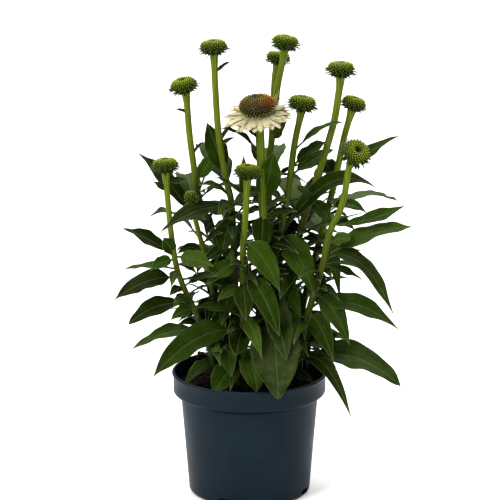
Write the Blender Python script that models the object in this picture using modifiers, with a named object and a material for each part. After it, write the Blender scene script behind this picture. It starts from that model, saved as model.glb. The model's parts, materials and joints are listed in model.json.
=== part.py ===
"""A coneflower in its round nursery pot: turned plastic pot, soil with plain stem holes, leafy
stems, green button heads and one open bloom. Lengths in this file are millimetres, and every
mesh is written in metres. The origin is the middle of the pot's underside."""

import math

import bmesh
import bpy
import numpy as np
from mathutils import Vector
from mathutils.bvhtree import BVHTree

MM = 0.001
GAP = 0.3

# Pot: a 17 cm nursery container with a stepped collar
POT_HEIGHT = 136.0
RIM_RADIUS = 85.0
COLLAR_RADIUS = 83.5
COLLAR_FOOT = 115.0
NECK_RADIUS = 75.0
NECK_HEIGHT = 106.5
FOOT_RADIUS = 66.6
FOOT_CORNER = 4.5
WALL = 1.5
POT_SIDES = 34
SLOT_ANGLES = (-114, -24, 66, 156)
SLOT_SIZE = (10.0, 15.0, 7.0)

# Soil
SOIL_HEIGHT = 120.0
SOIL_LUMP = 1.6

# Stems: the route of each one's centre, from its end in the soil up to the seat of its head
STEMS = {
    "left_low": [(-24, -18, 84), (-31, -20, 121), (-50, -21, 187), (-75, -22, 246),
                 (-83, -23, 287), (-88, -25, 340), (-89.5, -25, 366)],
    "left_tall": [(-16, 12, 84), (-18, 14, 121), (-33, 15, 256), (-43, 15, 295), (-55, 15, 327),
                  (-61, 15, 367), (-65, 15, 400), (-67.5, 14, 434), (-69.5, 13, 445)],
    "left_bud": [(-23, 3, 84), (-26, 2, 121), (-33, 1, 180), (-41, 0, 230), (-48.5, -1, 266),
                 (-57, -2, 300), (-61.5, -2, 318), (-62.5, -2, 325)],
    "mid_tall": [(-10, 3, 84), (-12, 2, 121), (-16, 2, 240), (-19, 1, 318), (-25, 1, 350),
                 (-33, 0, 399), (-36.5, 0, 450), (-37.5, 0, 478), (-38, 0, 489)],
    "front": [(-4, -16, 84), (-5, -18, 121), (-7, -20, 200), (-7, -20, 275), (-4.5, -21, 310),
              (-3, -22, 340), (-2, -22, 358)],
    "bloom": [(6, -6, 84), (8, -8, 121), (13, -9, 190), (16, -9, 250), (16, -8, 295),
              (14, -5, 328), (13, -2.5, 355), (11, -5, 404), (9.5, -7, 421)],
    "tallest": [(5, 12, 84), (6, 14, 121), (13, 18, 240), (20, 25, 358), (23.5, 27, 382),
                (26, 28, 405), (30, 28, 444), (33.5, 28, 463), (36.5, 27, 479), (38, 27, 489)],
    "back": [(13, 26, 84), (14, 28, 121), (19, 38, 260), (23, 46, 360), (27, 50, 445),
             (29, 52, 458), (30.5, 53, 468)],
    "mid_right": [(16, 0, 84), (17, 1, 121), (24, 4, 210), (31, 8, 278), (36, 10, 298),
                  (40, 12, 323), (44, 14, 348), (47.5, 16, 378), (51, 17, 398), (54.5, 18, 414),
                  (56, 18, 424)],
    "right_tall": [(27, 8, 84), (29, 9, 121), (45, 10, 240), (58, 10, 300), (70.5, 10, 341),
                   (81.5, 10, 377), (91, 10, 412), (95, 10, 438), (97, 10, 453), (97.5, 10, 463)],
    "right_back": [(38, 13, 84), (40, 14, 121), (62, 16, 220), (82, 18, 300), (92, 19, 341),
                   (99, 20, 376), (103, 21, 395), (108, 21.5, 413), (111, 21.5, 424)],
    "right_front": [(41, -15, 84), (43, -16, 121), (62, -19, 200), (79, -22, 262),
                    (83, -24, 285), (88, -25, 303), (95, -26, 317), (101, -26, 336),
                    (104, -26, 355), (106.5, -26.5, 371), (108.5, -28.5, 379), (111, -33, 384)],
}
STEM_STEP = 26.0
FOOT_THICKNESS = 8.2
NECK_THICKNESS = 7.0
STOUT = {"bloom": 1.38, "right_tall": 1.1, "left_low": 0.9, "left_bud": 0.8}
FLARE_THICKNESS = 10.0
FLARE_LENGTH = 16.0
SEAT_LENGTH = 6.0

# Heads: how far each spreads, as a share of the largest
HEAD_SPREAD = 16.8
HEADS = {
    "left_low": 0.95, "left_tall": 1.0, "mid_tall": 1.0, "front": 0.98, "tallest": 1.0,
    "back": 0.88, "mid_right": 1.04, "right_tall": 1.02, "right_back": 0.92, "right_front": 1.04,
}
HEAD_SIDES = 14
# Each ring of a head: radius at its points, radius between them, height of each, and its turn
HEAD_RINGS = [
    (0.30, 0.30, 0.00, 0.00, 0), (1.00, 0.50, 0.02, 0.10, 0), (0.60, 0.56, 0.20, 0.16, 0),
    (0.96, 0.68, 0.24, 0.28, 1), (0.78, 0.74, 0.36, 0.34, 1), (0.90, 0.78, 0.48, 0.44, 0),
    (0.86, 0.72, 0.62, 0.58, 1), (0.70, 0.58, 0.76, 0.70, 0), (0.46, 0.40, 0.80, 0.76, 1),
    (0.22, 0.22, 0.74, 0.74, 0),
]
HEAD_DIMPLE = 0.62

BUD_RADIUS = 7.0
BUD_HEIGHT = 14.0
BUD_SIDES = 14

# The open bloom: a ring of rays on a disc, with the cone on top of it
DISC_RADIUS = 12.5
DISC_THICKNESS = 3.0
CONE_RADIUS = 19.6
CONE_HEIGHT = 21.5
CONE_SIDES = 24
CONE_RINGS = 12
CONE_SPIKE = 2.2
RAY_COUNT = 22
RAY_LENGTH = 25.5
RAY_WIDTH = 8.8
RAY_START = 11.0
BRACT_RADIUS = 14.5

# Leaves: stem, height of the foot, tip (x, y, z), width, arch and lean, and for a few the share
# of the blade where it is widest. Arch is the rise of the middle over a straight line, as a share
# of its length. Lean turns the face from up to the front.
LEAVES = [
    ("mid_right", 184, (31, -93, 131), 54, 0.26, 64, 0.56),
    ("mid_right", 279, (139, -10, 345), 23, 0.27, 34),
    ("right_front", 266, (156, -40, 208), 23, 0.30, 34),
    ("right_front", 270, (176, -34, 306), 25, 0.08, 36),
    ("left_low", 246, (-147, -32, 223), 25, 0.12, 34),
    ("front", 186, (-108, -52, 146), 33, 0.16, 40, 0.42),
    ("right_front", 150, (164, -46, 131), 37, 0.18, 38, 0.45),
    ("left_bud", 304, (-121, 20, 375), 20, 0.08, 36),
    ("left_low", 270, (-137, -20, 301), 20, 0.06, 30),
    ("right_front", 306, (166, -30, 328), 18, -0.05, 28, 0.5),
    ("mid_tall", 320, (-105, -16, 302), 24, 0.10, 24),
    ("left_low", 188, (-128, -30, 168), 20, 0.10, 30),
    ("left_low", 214, (-131, -34, 197), 22, 0.16, 42, 0.5),
    ("right_front", 214, (162, -32, 190), 25, 0.16, 38),
    ("right_back", 345, (162, 20, 394), 17, 0.06, 24),
    ("front", 286, (33, -44, 236), 28, 0.16, 54),
    ("front", 250, (32, -72, 195), 25, 0.16, 62, 0.45),
    ("bloom", 226, (41, -82, 178), 30, 0.20, 60, 0.52),
    ("front", 240, (-4, -54, 208), 23, 0.18, 74, 0.45),
    ("front", 262, (-46, -42, 244), 22, 0.14, 46, 0.45),
    ("right_front", 229, (113, -40, 180), 27, 0.16, 52),
    ("right_front", 206, (93, -56, 166), 23, 0.16, 62),
    ("right_front", 150, (111, -48, 94), 17, 0.34, 55),
    ("mid_right", 284, (78, -30, 231), 30, 0.20, 62, 0.42),
    ("left_low", 270, (-38, -42, 264), 22, 0.05, 46),
    ("left_low", 268, (-92, -34, 294), 16, 0.04, 60, 0.5),
    ("left_low", 266, (-107, -36, 258), 15, 0.12, 42),
    ("left_low", 256, (-136, -12, 247), 14, 0.06, 18),
    ("left_bud", 268, (-79, -6, 268), 11, 0.24, 66),
    ("left_low", 236, (-86, -40, 231), 11, 0.10, 40),
    ("left_low", 228, (-82, -38, 217), 11, 0.12, 50),
    ("left_low", 210, (-85, -38, 203), 14, 0.14, 48),
    ("left_bud", 190, (-82, -8, 188), 14, 0.08, 24),
    ("left_bud", 160, (-31, -56, 144), 22, 0.18, 72, 0.45),
    ("left_bud", 150, (-66, -44, 134), 18, 0.12, 20),
    ("front", 150, (-40, -60, 133), 28, 0.14, 56, 0.55),
    ("front", 186, (-14, -58, 170), 23, 0.18, 66, 0.58),
    ("bloom", 192, (12, -64, 160), 15, 0.16, 74),
    ("front", 166, (10, -73, 144), 27, 0.18, 70, 0.6),
    ("front", 236, (-35, -38, 224), 13, 0.10, 44),
    ("front", 236, (-2, -27, 272), 8, 0.02, 70),
    ("front", 238, (8, -29, 266), 8, 0.03, 64),
    ("front", 232, (13, -30, 250), 8, 0.06, 50),
    ("bloom", 320, (26, -4, 381), 27, 0.02, 74, 0.4),
    ("bloom", 310, (12, -30, 277), 24, 0.24, 84, 0.45),
    ("bloom", 314, (40, -12, 303), 11, 0.10, 4),
    ("bloom", 366, (1, -8, 394), 9, 0.02, 62),
    ("bloom", 380, (-31, -16, 410), 14, 0.12, 16),
    ("bloom", 394, (-8, -14, 411), 7, 0.06, 30),
    ("tallest", 386, (40, 14, 411), 13, 0.04, 50),
    ("front", 322, (-6, 2, 378), 13, 0.03, 64),
    ("front", 320, (-44, -16, 294), 13, 0.10, 4),
    ("front", 336, (-38, -12, 357), 11, 0.04, 8),
    ("mid_tall", 348, (-46, 9, 411), 24, 0.04, 66, 0.4),
    ("mid_tall", 388, (-16, -2, 397), 6, 0.04, 30),
    ("mid_tall", 466, (-20, -3, 480), 6, 0.06, 40),
    ("mid_tall", 306, (-30, -18, 270), 25, 0.22, 80, 0.45),
    ("mid_tall", 320, (6, 12, 324), 12, 0.06, 14),
    ("left_tall", 342, (-35, 4, 382), 16, 0.03, 62),
    ("left_tall", 318, (-26, 2, 309), 17, 0.08, 44),
    ("left_tall", 326, (-24, 26, 342), 13, 0.05, -12),
    ("left_tall", 374, (-49, 10, 390), 6, 0.05, 30),
    ("left_tall", 420, (-79, 10, 425), 6, 0.06, 30),
    ("left_low", 342, (-103, -27, 354), 7, 0.06, 40),
    ("left_low", 352, (-64, -24, 355), 8, 0.06, 40),
    ("mid_right", 378, (101, -8, 415), 15, 0.10, 26),
    ("mid_right", 360, (84, -6, 393), 20, 0.06, 38),
    ("mid_right", 350, (94, 28, 376), 19, 0.06, 38),
    ("right_back", 346, (80, 34, 364), 19, 0.06, 60, 0.5),
    ("mid_right", 274, (127, -4, 319), 14, 0.04, 8),
    ("right_tall", 324, (86, -6, 300), 17, 0.12, 54),
    ("right_front", 284, (108, -38, 294), 16, 0.08, 54, 0.55),
    ("right_front", 260, (122, -34, 247), 14, 0.06, 12),
    ("right_back", 286, (99, 2, 214), 17, 0.26, 62),
    ("right_tall", 276, (28, -18, 267), 15, 0.08, 38),
    ("right_tall", 262, (34, -24, 203), 21, 0.14, 70),
    ("right_front", 190, (108, -14, 172), 17, 0.08, 18),
    ("right_back", 200, (66, -34, 158), 18, 0.14, 62),
    ("right_back", 238, (84, -2, 200), 23, 0.12, 52),
    ("right_tall", 228, (58, -12, 186), 22, 0.12, 62),
    ("right_front", 136, (69, -30, 131), 11, 0.10, 40),
    ("left_tall", 262, (-62, -14, 226), 24, 0.14, 58),
    ("mid_tall", 240, (-30, -22, 192), 24, 0.14, 66),
    ("mid_tall", 196, (-34, -30, 156), 24, 0.16, 60),
    ("left_tall", 214, (-58, -8, 172), 23, 0.16, 50),
    ("tallest", 300, (44, 2, 262), 22, 0.14, 66),
    ("mid_right", 232, (58, -26, 206), 24, 0.16, 60),
    ("right_tall", 186, (78, -36, 150), 24, 0.18, 56),
    ("front", 200, (12, -75, 166), 17, 0.14, 70),
    ("mid_right", 206, (64, -55, 166), 15, 0.14, 60),
    ("right_tall", 250, (36, -30, 207), 19, 0.10, 66),
    ("mid_tall", 200, (-39, -20, 226), 20, 0.12, 60),
    ("left_bud", 205, (-26, -40, 197), 16, 0.10, 50),
    ("left_bud", 218, (-47, -30, 194), 12, 0.14, 60),
]
# The far side of the plant is filled by a rule. Feet climb the back stems in turn, and heading,
# size and tilt are spread by three steps whose multiples never fall together.
BACK_STEMS = ("left_tall", "back", "right_back", "left_bud", "tallest", "right_tall", "mid_tall")
BACK_COUNT = 46
BACK_LOW, BACK_HIGH = 148.0, 344.0
BACK_STEPS = (0.3820, 0.7549, 0.5698)
BACK_FAN = (24.0, 158.0)
BACK_LENGTH = (58.0, 112.0)
BACK_WIDTH = (16.0, 34.0)

# Stations along a leaf, for each width up to the one given
LEAF_STATIONS = {9: 4, 29: 6, 99: 8}
PETIOLE_SHARE = 0.16
PETIOLE_WIDTH = 2.6
BELLY = 0.36
BLADE_POWER = 1.9
RIB_THICKNESS = 1.8
FOLD = 0.22
WAVE = 0.07
CLEARANCE = 1.6


def smooth(points, count):
    """Points of a Catmull-Rom curve through the given ones, evenly spaced along it."""
    p = np.array(points, float)
    p = np.vstack([2 * p[0] - p[1], p, 2 * p[-1] - p[-2]])
    t = np.linspace(0, 1, 24, endpoint=False)[:, None]
    runs = []
    for a, b, c, d in zip(p, p[1:], p[2:], p[3:]):
        runs.append(b + 0.5 * t * (c - a + t * (2 * a - 5 * b + 4 * c - d + t * (3 * (b - c) + d - a))))
    fine = np.vstack(runs + [p[-2:-1]])
    along = np.append(0, np.cumsum(np.linalg.norm(np.diff(fine, axis=0), axis=1)))
    even = np.linspace(0, along[-1], count)
    return np.column_stack([np.interp(even, along, fine[:, k]) for k in range(3)])


def stem_line(name):
    """Centre points of a stem and its half thickness at each. The last two points, a short way
    apart, set the way that its head faces."""
    fine = smooth(STEMS[name], 200)
    along = np.append(0, np.cumsum(np.linalg.norm(np.diff(fine, axis=0), axis=1)))
    count = int(along[-1] / STEM_STEP) + 1
    marks = np.append(np.linspace(0, along[-1] - SEAT_LENGTH, count), along[-1])
    line = np.column_stack([np.interp(marks, along, fine[:, k]) for k in range(3)])
    thin = np.clip(marks / along[-1] / 0.6, 0, 1)
    flare = np.clip(1 - (along[-1] - marks) / FLARE_LENGTH, 0, 1)
    width = FOOT_THICKNESS + (NECK_THICKNESS - FOOT_THICKNESS) * thin
    width = STOUT.get(name, 1.0) * width
    return line, 0.5 * (width + (FLARE_THICKNESS - NECK_THICKNESS) * flare)


def stem_point(name, height):
    """The centre of a stem at this height."""
    fine = smooth(STEMS[name], 120)
    return np.array([np.interp(height, fine[:, 2], fine[:, k]) for k in range(3)])


def unit(v):
    return v / np.maximum(np.linalg.norm(v, axis=-1, keepdims=True), 1e-9)


def leaf_curve(foot, tip, arch, lean, t):
    """A leaf's rib at shares t of its length, with its side and face directions there."""
    t = np.asarray(t, float)[:, None]
    middle = (foot + tip) / 2 + np.array([0, 0, 2 * arch * np.linalg.norm(tip - foot)])
    centre = (1 - t) ** 2 * foot + 2 * t * (1 - t) * middle + t**2 * tip
    ahead = unit((1 - t) * (middle - foot) + t * (tip - middle))
    lean = math.radians(lean)
    face = np.array([0, -math.sin(lean), math.cos(lean)])
    side = unit(np.cross(ahead, face))
    return centre, side, np.cross(side, ahead)


def half_width(t, width, belly):
    """Half the blade's width: a narrow petiole, then lance-shaped, widest at the belly's share."""
    s = np.clip((t - PETIOLE_SHARE) / (1 - PETIOLE_SHARE), 0, 1)
    rise, fall = BLADE_POWER * belly, BLADE_POWER * (1 - belly)
    blade = s**rise * (1 - s) ** fall / (belly**rise * (1 - belly) ** fall)
    return np.maximum(width / 2 * blade, PETIOLE_WIDTH / 2 * (1 - t) ** 0.3)


def leaf_rings(foot, tip, width, arch, lean, belly=BELLY, spare=0.0):
    """Left edge, face, right edge and back at each station of a leaf, and then its tip."""
    stations = next(count for most, count in LEAF_STATIONS.items() if width <= most)
    t = np.linspace(0, 1, stations + 1)[:-1]
    centre, side, face = leaf_curve(foot, tip, arch, lean, t)
    half = half_width(t, width, belly)
    thick = 0.5 * RIB_THICKNESS * (1.1 - 0.5 * t) + spare
    phase = 0.37 * (foot[0] + foot[2]) + 0.21 * tip[0]
    waves = [WAVE * width * np.sin(4.4 * math.pi * t + phase + turn) for turn in (0, 2.2)]
    left, right = [FOLD * half + wave * np.minimum(1, half / 4) for wave in waves]
    half = (half + spare)[:, None]
    rings = [
        centre - side * half + face * left[:, None],
        centre + face * thick[:, None],
        centre + side * half + face * right[:, None],
        centre - face * thick[:, None],
    ]
    end = leaf_curve(foot, tip, arch, lean, [1.0])[0]
    return np.stack(rings, axis=1), end


def loft(rings, end):
    """Closed skin over rings of four points that meets in one end point, as (points, faces).
    Both faces of the blade are split along the same diagonals."""
    count = len(rings)
    points = np.vstack([rings.reshape(-1, 3), end])
    faces = [(0, 3, 2), (0, 2, 1)]
    for i in range(0, 4 * (count - 1), 4):
        for edge, mid in ((0, 1), (2, 1), (2, 3), (0, 3)):
            a, b = i + edge, i + mid
            turned = (edge, mid) in ((2, 1), (0, 3))
            pair = [(a, b, b + 4), (a, b + 4, a + 4)]
            faces += [f[::-1] for f in pair] if turned else pair
    last = 4 * (count - 1)
    faces += [(last, last + 1, last + 4), (last + 1, last + 2, last + 4)]
    faces += [(last + 2, last + 3, last + 4), (last + 3, last, last + 4)]
    return points, faces


class Thicket:
    """What has been placed so far: a search tree and a box for each piece, and its owner."""

    def __init__(self):
        self.pieces = []

    def add(self, owner, points, faces, own_faces=None):
        """own_faces are the faces that count against a leaf of the same owner."""
        points = np.asarray(points, float)
        whole = BVHTree.FromPolygons(points.tolist(), faces)
        own = BVHTree.FromPolygons(points.tolist(), own_faces) if own_faces else None
        self.pieces.append((owner, points.min(0), points.max(0), whole, own))

    def clear(self, owner, points, faces, outer):
        """Whether a leaf touches nothing of another owner, nor the blades of its own."""
        low, high = points.min(0), points.max(0)
        whole = BVHTree.FromPolygons(points.tolist(), faces)
        blade = BVHTree.FromPolygons(points.tolist(), outer)
        for other, a, b, tree, own in self.pieces:
            if (a > high).any() or (b < low).any():
                continue
            if other != owner and tree.overlap(whole):
                return False
            if other == owner and own and own.overlap(blade):
                return False
        return True


# Turns of a leaf about its foot, as (lift, swing, share of its length), the smallest first
TURNS = sorted(
    ((lift, swing, size) for size in (1.0, 0.85, 0.7) for lift in range(-42, 43, 6)
     for swing in range(-42, 43, 6)),
    key=lambda turn: (abs(turn[0]) + abs(turn[1]) + 200 * (1 - turn[2]), turn),
)


def turned_tip(foot, tip, lift, swing, size):
    """The tip after the leaf is swung round its foot and lifted, and shortened by size."""
    reach = (tip - foot) * size
    flat = max(math.hypot(reach[0], reach[1]), 1e-6)
    heading = math.atan2(reach[1], reach[0]) + math.radians(swing)
    rise = math.atan2(reach[2], flat) + math.radians(lift)
    length = np.linalg.norm(reach)
    out = length * math.cos(rise)
    return foot + np.array([out * math.cos(heading), out * math.sin(heading), length * math.sin(rise)])


def bend_clear(thicket, owner, foot, tip, width, *shape):
    """The tip and width of a leaf once it is turned, as little as needed, to touch nothing. Where
    the plant is too dense for it, there is none."""
    for lift, swing, size in TURNS:
        moved, narrowed = turned_tip(foot, tip, lift, swing, size), width * size**0.5
        points, faces = loft(*leaf_rings(foot, moved, narrowed, *shape, CLEARANCE))
        if thicket.clear(owner, points, faces, faces[len(faces) // 2 :]):
            points, faces = loft(*leaf_rings(foot, moved, narrowed, *shape))
            thicket.add(owner, points, faces, faces[len(faces) // 2 :])
            return moved, narrowed
    return None


def back_leaves():
    """The leaves of the far side, in the same form as the list of the near side."""
    rows = []
    for n in range(BACK_COUNT):
        share = n / (BACK_COUNT - 1)
        turn, size, tilt = (n * step % 1 for step in BACK_STEPS)
        stem = BACK_STEMS[n % len(BACK_STEMS)]
        height = BACK_LOW + (BACK_HIGH - BACK_LOW) * share
        heading = math.radians(BACK_FAN[0] + (BACK_FAN[1] - BACK_FAN[0]) * turn)
        length = BACK_LENGTH[0] + (BACK_LENGTH[1] - BACK_LENGTH[0]) * size
        width = BACK_WIDTH[0] + (BACK_WIDTH[1] - BACK_WIDTH[0]) * size
        rise = (0.75 * share - 0.7 + 0.5 * tilt) * length
        reach = np.array([length * math.cos(heading), length * math.sin(heading), rise])
        tip = stem_point(stem, height) + reach
        rows.append((stem, height, tuple(tip), width, 0.1 + 0.16 * tilt, -30 * math.sin(heading), BELLY))
    return rows


def material(name, colour, roughness):
    made = bpy.data.materials.new(name)
    made.use_nodes = True
    shader = made.node_tree.nodes["Principled BSDF"]
    shader.inputs["Base Color"].default_value = (*colour, 1)
    shader.inputs["Roughness"].default_value = roughness
    made.diffuse_color = (*colour, 1)
    return made


def collection(name):
    made = bpy.data.collections.new(name)
    bpy.context.scene.collection.children.link(made)
    return made


def mesh_object(name, group, points=None, faces=None, shape=None):
    """An object from points in millimetres and faces, or from a bmesh that is in metres."""
    bm = shape or bmesh.new()
    if shape is None:
        corners = [bm.verts.new(Vector(p) * MM) for p in np.asarray(points).tolist()]
        for face in faces:
            bm.faces.new([corners[k] for k in face])
    bmesh.ops.recalc_face_normals(bm, faces=bm.faces)
    mesh = bpy.data.meshes.new(name)
    bm.to_mesh(mesh)
    bm.free()
    made = bpy.data.objects.new(name, mesh)
    group.objects.link(made)
    return made


def baked(obj):
    """The same object with its modifiers, or its curve, turned into a mesh."""
    bpy.context.view_layer.update()
    graph = bpy.context.evaluated_depsgraph_get()
    mesh = bpy.data.meshes.new_from_object(obj.evaluated_get(graph))
    bm = bmesh.new()
    bm.from_mesh(mesh)
    bmesh.ops.remove_doubles(bm, verts=bm.verts, dist=1e-6)
    bmesh.ops.recalc_face_normals(bm, faces=bm.faces)
    bm.to_mesh(mesh)
    bm.free()
    name, group, matrix = obj.name, obj.users_collection[0], obj.matrix_world.copy()
    bpy.data.objects.remove(obj)
    made = bpy.data.objects.new(name, mesh)
    made.matrix_world = matrix
    mesh.name = name
    group.objects.link(made)
    return made


def boolean(obj, group, operation, solver="EXACT"):
    """Joins or cuts the object with everything in the group, and removes what it used."""
    cut = obj.modifiers.new(operation.title(), "BOOLEAN")
    cut.operation = operation
    cut.operand_type = "COLLECTION"
    cut.collection = group
    cut.solver = solver
    made = baked(obj)
    keep_largest(made.data)
    for used in list(group.objects):
        bpy.data.objects.remove(used)
    return made


def keep_largest(mesh):
    """Drops the loose scraps that a join leaves, and fills the hollows that it seals."""
    bm = bmesh.new()
    bm.from_mesh(mesh)
    unseen, bodies = set(bm.verts), []
    while unseen:
        body, front = set(), [unseen.pop()]
        while front:
            vertex = front.pop()
            body.add(vertex)
            reached = {edge.other_vert(vertex) for edge in vertex.link_edges} & unseen
            unseen -= reached
            front.extend(reached)
        bodies.append(body)
    bodies.sort(key=len)
    for body in bodies[:-1]:
        bmesh.ops.delete(bm, geom=list(body), context="VERTS")
    bm.to_mesh(mesh)
    bm.free()


def turned(name, group, profile, sides):
    """A body of revolution about Z from a closed profile of (radius, height)."""
    bm = bmesh.new()
    points = [bm.verts.new((r * MM, 0, z * MM)) for r, z in profile]
    for a, b in zip(points, points[1:]):
        bm.edges.new((a, b))
    mesh = bpy.data.meshes.new(name)
    bm.to_mesh(mesh)
    bm.free()
    made = bpy.data.objects.new(name, mesh)
    group.objects.link(made)
    screw = made.modifiers.new("Turn", "SCREW")
    screw.steps = screw.render_steps = sides
    screw.use_merge_vertices = True
    screw.merge_threshold = 1e-5
    return baked(made)


def arc(centre, radius, start, end, count):
    """Points of an arc, by angle in degrees, as (radius, height) pairs."""
    angles = [math.radians(start + (end - start) * k / (count - 1)) for k in range(count)]
    return [(centre[0] + radius * math.cos(a), centre[1] + radius * math.sin(a)) for a in angles]


def inner_wall(height):
    """Radius of the pot's inner wall at a height."""
    heights = [FOOT_CORNER, NECK_HEIGHT + 1, COLLAR_FOOT, POT_HEIGHT]
    radii = [FOOT_RADIUS - WALL, NECK_RADIUS - WALL, COLLAR_RADIUS - WALL, COLLAR_RADIUS - WALL]
    return float(np.interp(height, heights, radii))


def make_pot(group):
    """Injection-moulded pot: rolled lip, straight collar, rounded shoulder and tapered body."""
    lip = [(COLLAR_RADIUS - WALL, POT_HEIGHT), (COLLAR_RADIUS, POT_HEIGHT)]
    lip += [(RIM_RADIUS, POT_HEIGHT - 1.2), (RIM_RADIUS, POT_HEIGHT - 2.6)]
    lip += [(COLLAR_RADIUS, POT_HEIGHT - 4.2)]
    shoulder = arc((COLLAR_RADIUS - 3, COLLAR_FOOT), 3, 0, -62, 3)
    shoulder += [(NECK_RADIUS + 1.2, NECK_HEIGHT + 1.5)]
    foot = arc((FOOT_RADIUS - FOOT_CORNER, FOOT_CORNER), FOOT_CORNER, 0, -90, 3)
    inside = [(0, WALL), (FOOT_RADIUS - 5, WALL), (inner_wall(FOOT_CORNER), FOOT_CORNER)]
    inside += [(inner_wall(h), h) for h in (NECK_HEIGHT + 1, COLLAR_FOOT)]
    profile = lip + shoulder + [(NECK_RADIUS, NECK_HEIGHT)] + foot + [(0, 0)] + inside + lip[:1]
    pot = turned("pot", group, profile, POT_SIDES)
    cutters = collection("Slot cutters")
    for number, angle in enumerate(SLOT_ANGLES):
        bm = bmesh.new()
        bmesh.ops.create_cube(bm, size=MM)
        bmesh.ops.scale(bm, verts=bm.verts, vec=SLOT_SIZE)
        slot = mesh_object(f"slot_{number}", cutters, shape=bm)
        heading = math.radians(angle - 90)
        out = (FOOT_RADIUS - 1.5) * MM
        slot.location = (out * math.cos(heading), out * math.sin(heading), 4.4 * MM)
        slot.rotation_euler.z = heading
    pot = boolean(pot, cutters, "DIFFERENCE")
    pot.data.materials.clear()
    pot.data.materials.append(material("Slate blue plastic", (0.018, 0.031, 0.045), 0.42))
    return pot


def stem_tube(name, group, spare=0.0, ends=0.0):
    """A stem as a curve with a round bevel, as thick along its length as the stem is there."""
    line, radius = stem_line(name)
    radius = radius + spare
    if ends:
        line = line[line[:, 2] < SOIL_HEIGHT + 30]
        radius = radius[: len(line)]
        line[0] += unit(line[0] - line[1]) * ends
    curve = bpy.data.curves.new(name, "CURVE")
    curve.dimensions = "3D"
    curve.bevel_depth = MM
    curve.bevel_resolution = 1
    curve.use_fill_caps = True
    spline = curve.splines.new("POLY")
    spline.points.add(len(line) - 1)
    for point, place, thick in zip(spline.points, line, radius):
        point.co = (*(place * MM), 1)
        point.radius = thick
    made = bpy.data.objects.new(name, curve)
    group.objects.link(made)
    return baked(made)


def make_soil(group):
    """Peat that fills the pot, lumpy on top, with a plain hole for each stem."""
    side = [(inner_wall(h) - GAP, h) for h in (FOOT_CORNER + 1, NECK_HEIGHT + 1, SOIL_HEIGHT - 4)]
    side[0] = (side[0][0] - 0.4, side[0][1])
    top = [(inner_wall(SOIL_HEIGHT) - 2.5, SOIL_HEIGHT)]
    top += [(r, SOIL_HEIGHT) for r in (60, 32, 0)]
    bottom = [(0, WALL + GAP), (FOOT_RADIUS - 6, WALL + GAP)]
    profile = (bottom + side + top)[::-1]
    soil = turned("soil", group, profile + profile[:1], 22)
    for vertex in soil.data.vertices:
        x, y, z = vertex.co / MM
        if z > SOIL_HEIGHT - 1:
            lump = math.sin(0.21 * x + 1.3) * math.cos(0.17 * y) + 0.6 * math.sin(0.33 * y - 0.28 * x)
            vertex.co.z += SOIL_LUMP * lump * MM
    holes = collection("Hole cutters")
    for name in STEMS:
        stem_tube(name, holes, GAP, GAP)
    soil = boolean(soil, holes, "DIFFERENCE")
    soil.data.materials.clear()
    soil.data.materials.append(material("Peat", (0.022, 0.014, 0.010), 0.95))
    return soil


def ringed(rows, sides, bottom, top):
    """A closed body from rings of points round Z. A row is the radius at its points, the radius
    between them, the height of each, and 1 where it is turned by one place."""
    points = [(0.0, 0.0, bottom)]
    for out, between, high, low, turn in rows:
        for k in range(sides):
            at_point = k % 2 == turn
            r, z = (out, high) if at_point else (between, low)
            angle = 2 * math.pi * k / sides
            points.append((r * math.cos(angle), r * math.sin(angle), z))
    points.append((0.0, 0.0, top))
    faces, last = [], len(points) - 1
    for k in range(sides):
        m = (k + 1) % sides
        faces.append((0, 1 + m, 1 + k))
        for row in range(len(rows) - 1):
            a, b, c, d = (1 + row * sides + step for step in (k, m, sides + m, sides + k))
            faces += [(a, b, c), (a, c, d)] if k % 2 else [(a, b, d), (b, c, d)]
        faces.append((last, last - sides + k, last - sides + m))
    return np.array(points), faces


def seat_frame(name):
    """Where a head sits on its stem: the seat's middle, and the two sides and the axis there."""
    line = stem_line(name)[0]
    axis = unit(line[-1] - line[-2])
    across = unit(np.cross(axis, [0, -1, 0]))
    return line[-1] + axis * GAP, np.array([across, np.cross(axis, across), axis])


def head_shape(name):
    """Points and faces of a button head: spreading bracts below, pointed florets over a dome."""
    spread = HEAD_SPREAD * HEADS[name]
    rows = [tuple(spread * v for v in row[:4]) + row[4:] for row in HEAD_RINGS]
    points, faces = ringed(rows, HEAD_SIDES, 0, HEAD_DIMPLE * spread)
    seat, frame = seat_frame(name)
    return points @ frame + seat, faces


def bud_shape():
    """Points and faces of the small closed bud, with pointed bracts wrapped round it."""
    rows = []
    for k in range(1, 8):
        angle = math.pi * k / 8
        r, z = BUD_RADIUS * math.sin(angle), BUD_HEIGHT * (1 - math.cos(angle)) / 2
        rows.append((r * 1.12, r * 0.9, z + 0.7, z, k % 2))
    rows[0] = (3.6, 3.6, 0, 0, 0)
    points, faces = ringed(rows, BUD_SIDES, 0, BUD_HEIGHT)
    seat, frame = seat_frame("left_bud")
    return points @ frame + seat, faces


def cone_shape():
    """Points and faces of the bloom's cone: a dome covered with rows of staggered spikes."""
    rows = [(11.0, 11.0, 0, 0, 0)]
    for k in range(1, CONE_RINGS):
        angle = math.pi * (0.16 + 0.80 * k / CONE_RINGS)
        r, z = CONE_RADIUS * math.sin(angle), CONE_HEIGHT * (0.42 - 0.46 * math.cos(angle))
        out = CONE_SPIKE * (1 - 0.5 * k / CONE_RINGS)
        up = out * max(0, -math.cos(angle))
        rows.append((r + out, r - 0.8, z + up + 0.6, z, k % 2))
    points, faces = ringed(rows, CONE_SIDES, 0, CONE_HEIGHT * 0.86)
    seat, frame = seat_frame("bloom")
    return points @ frame + seat + frame[2] * (DISC_THICKNESS + GAP), faces


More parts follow.
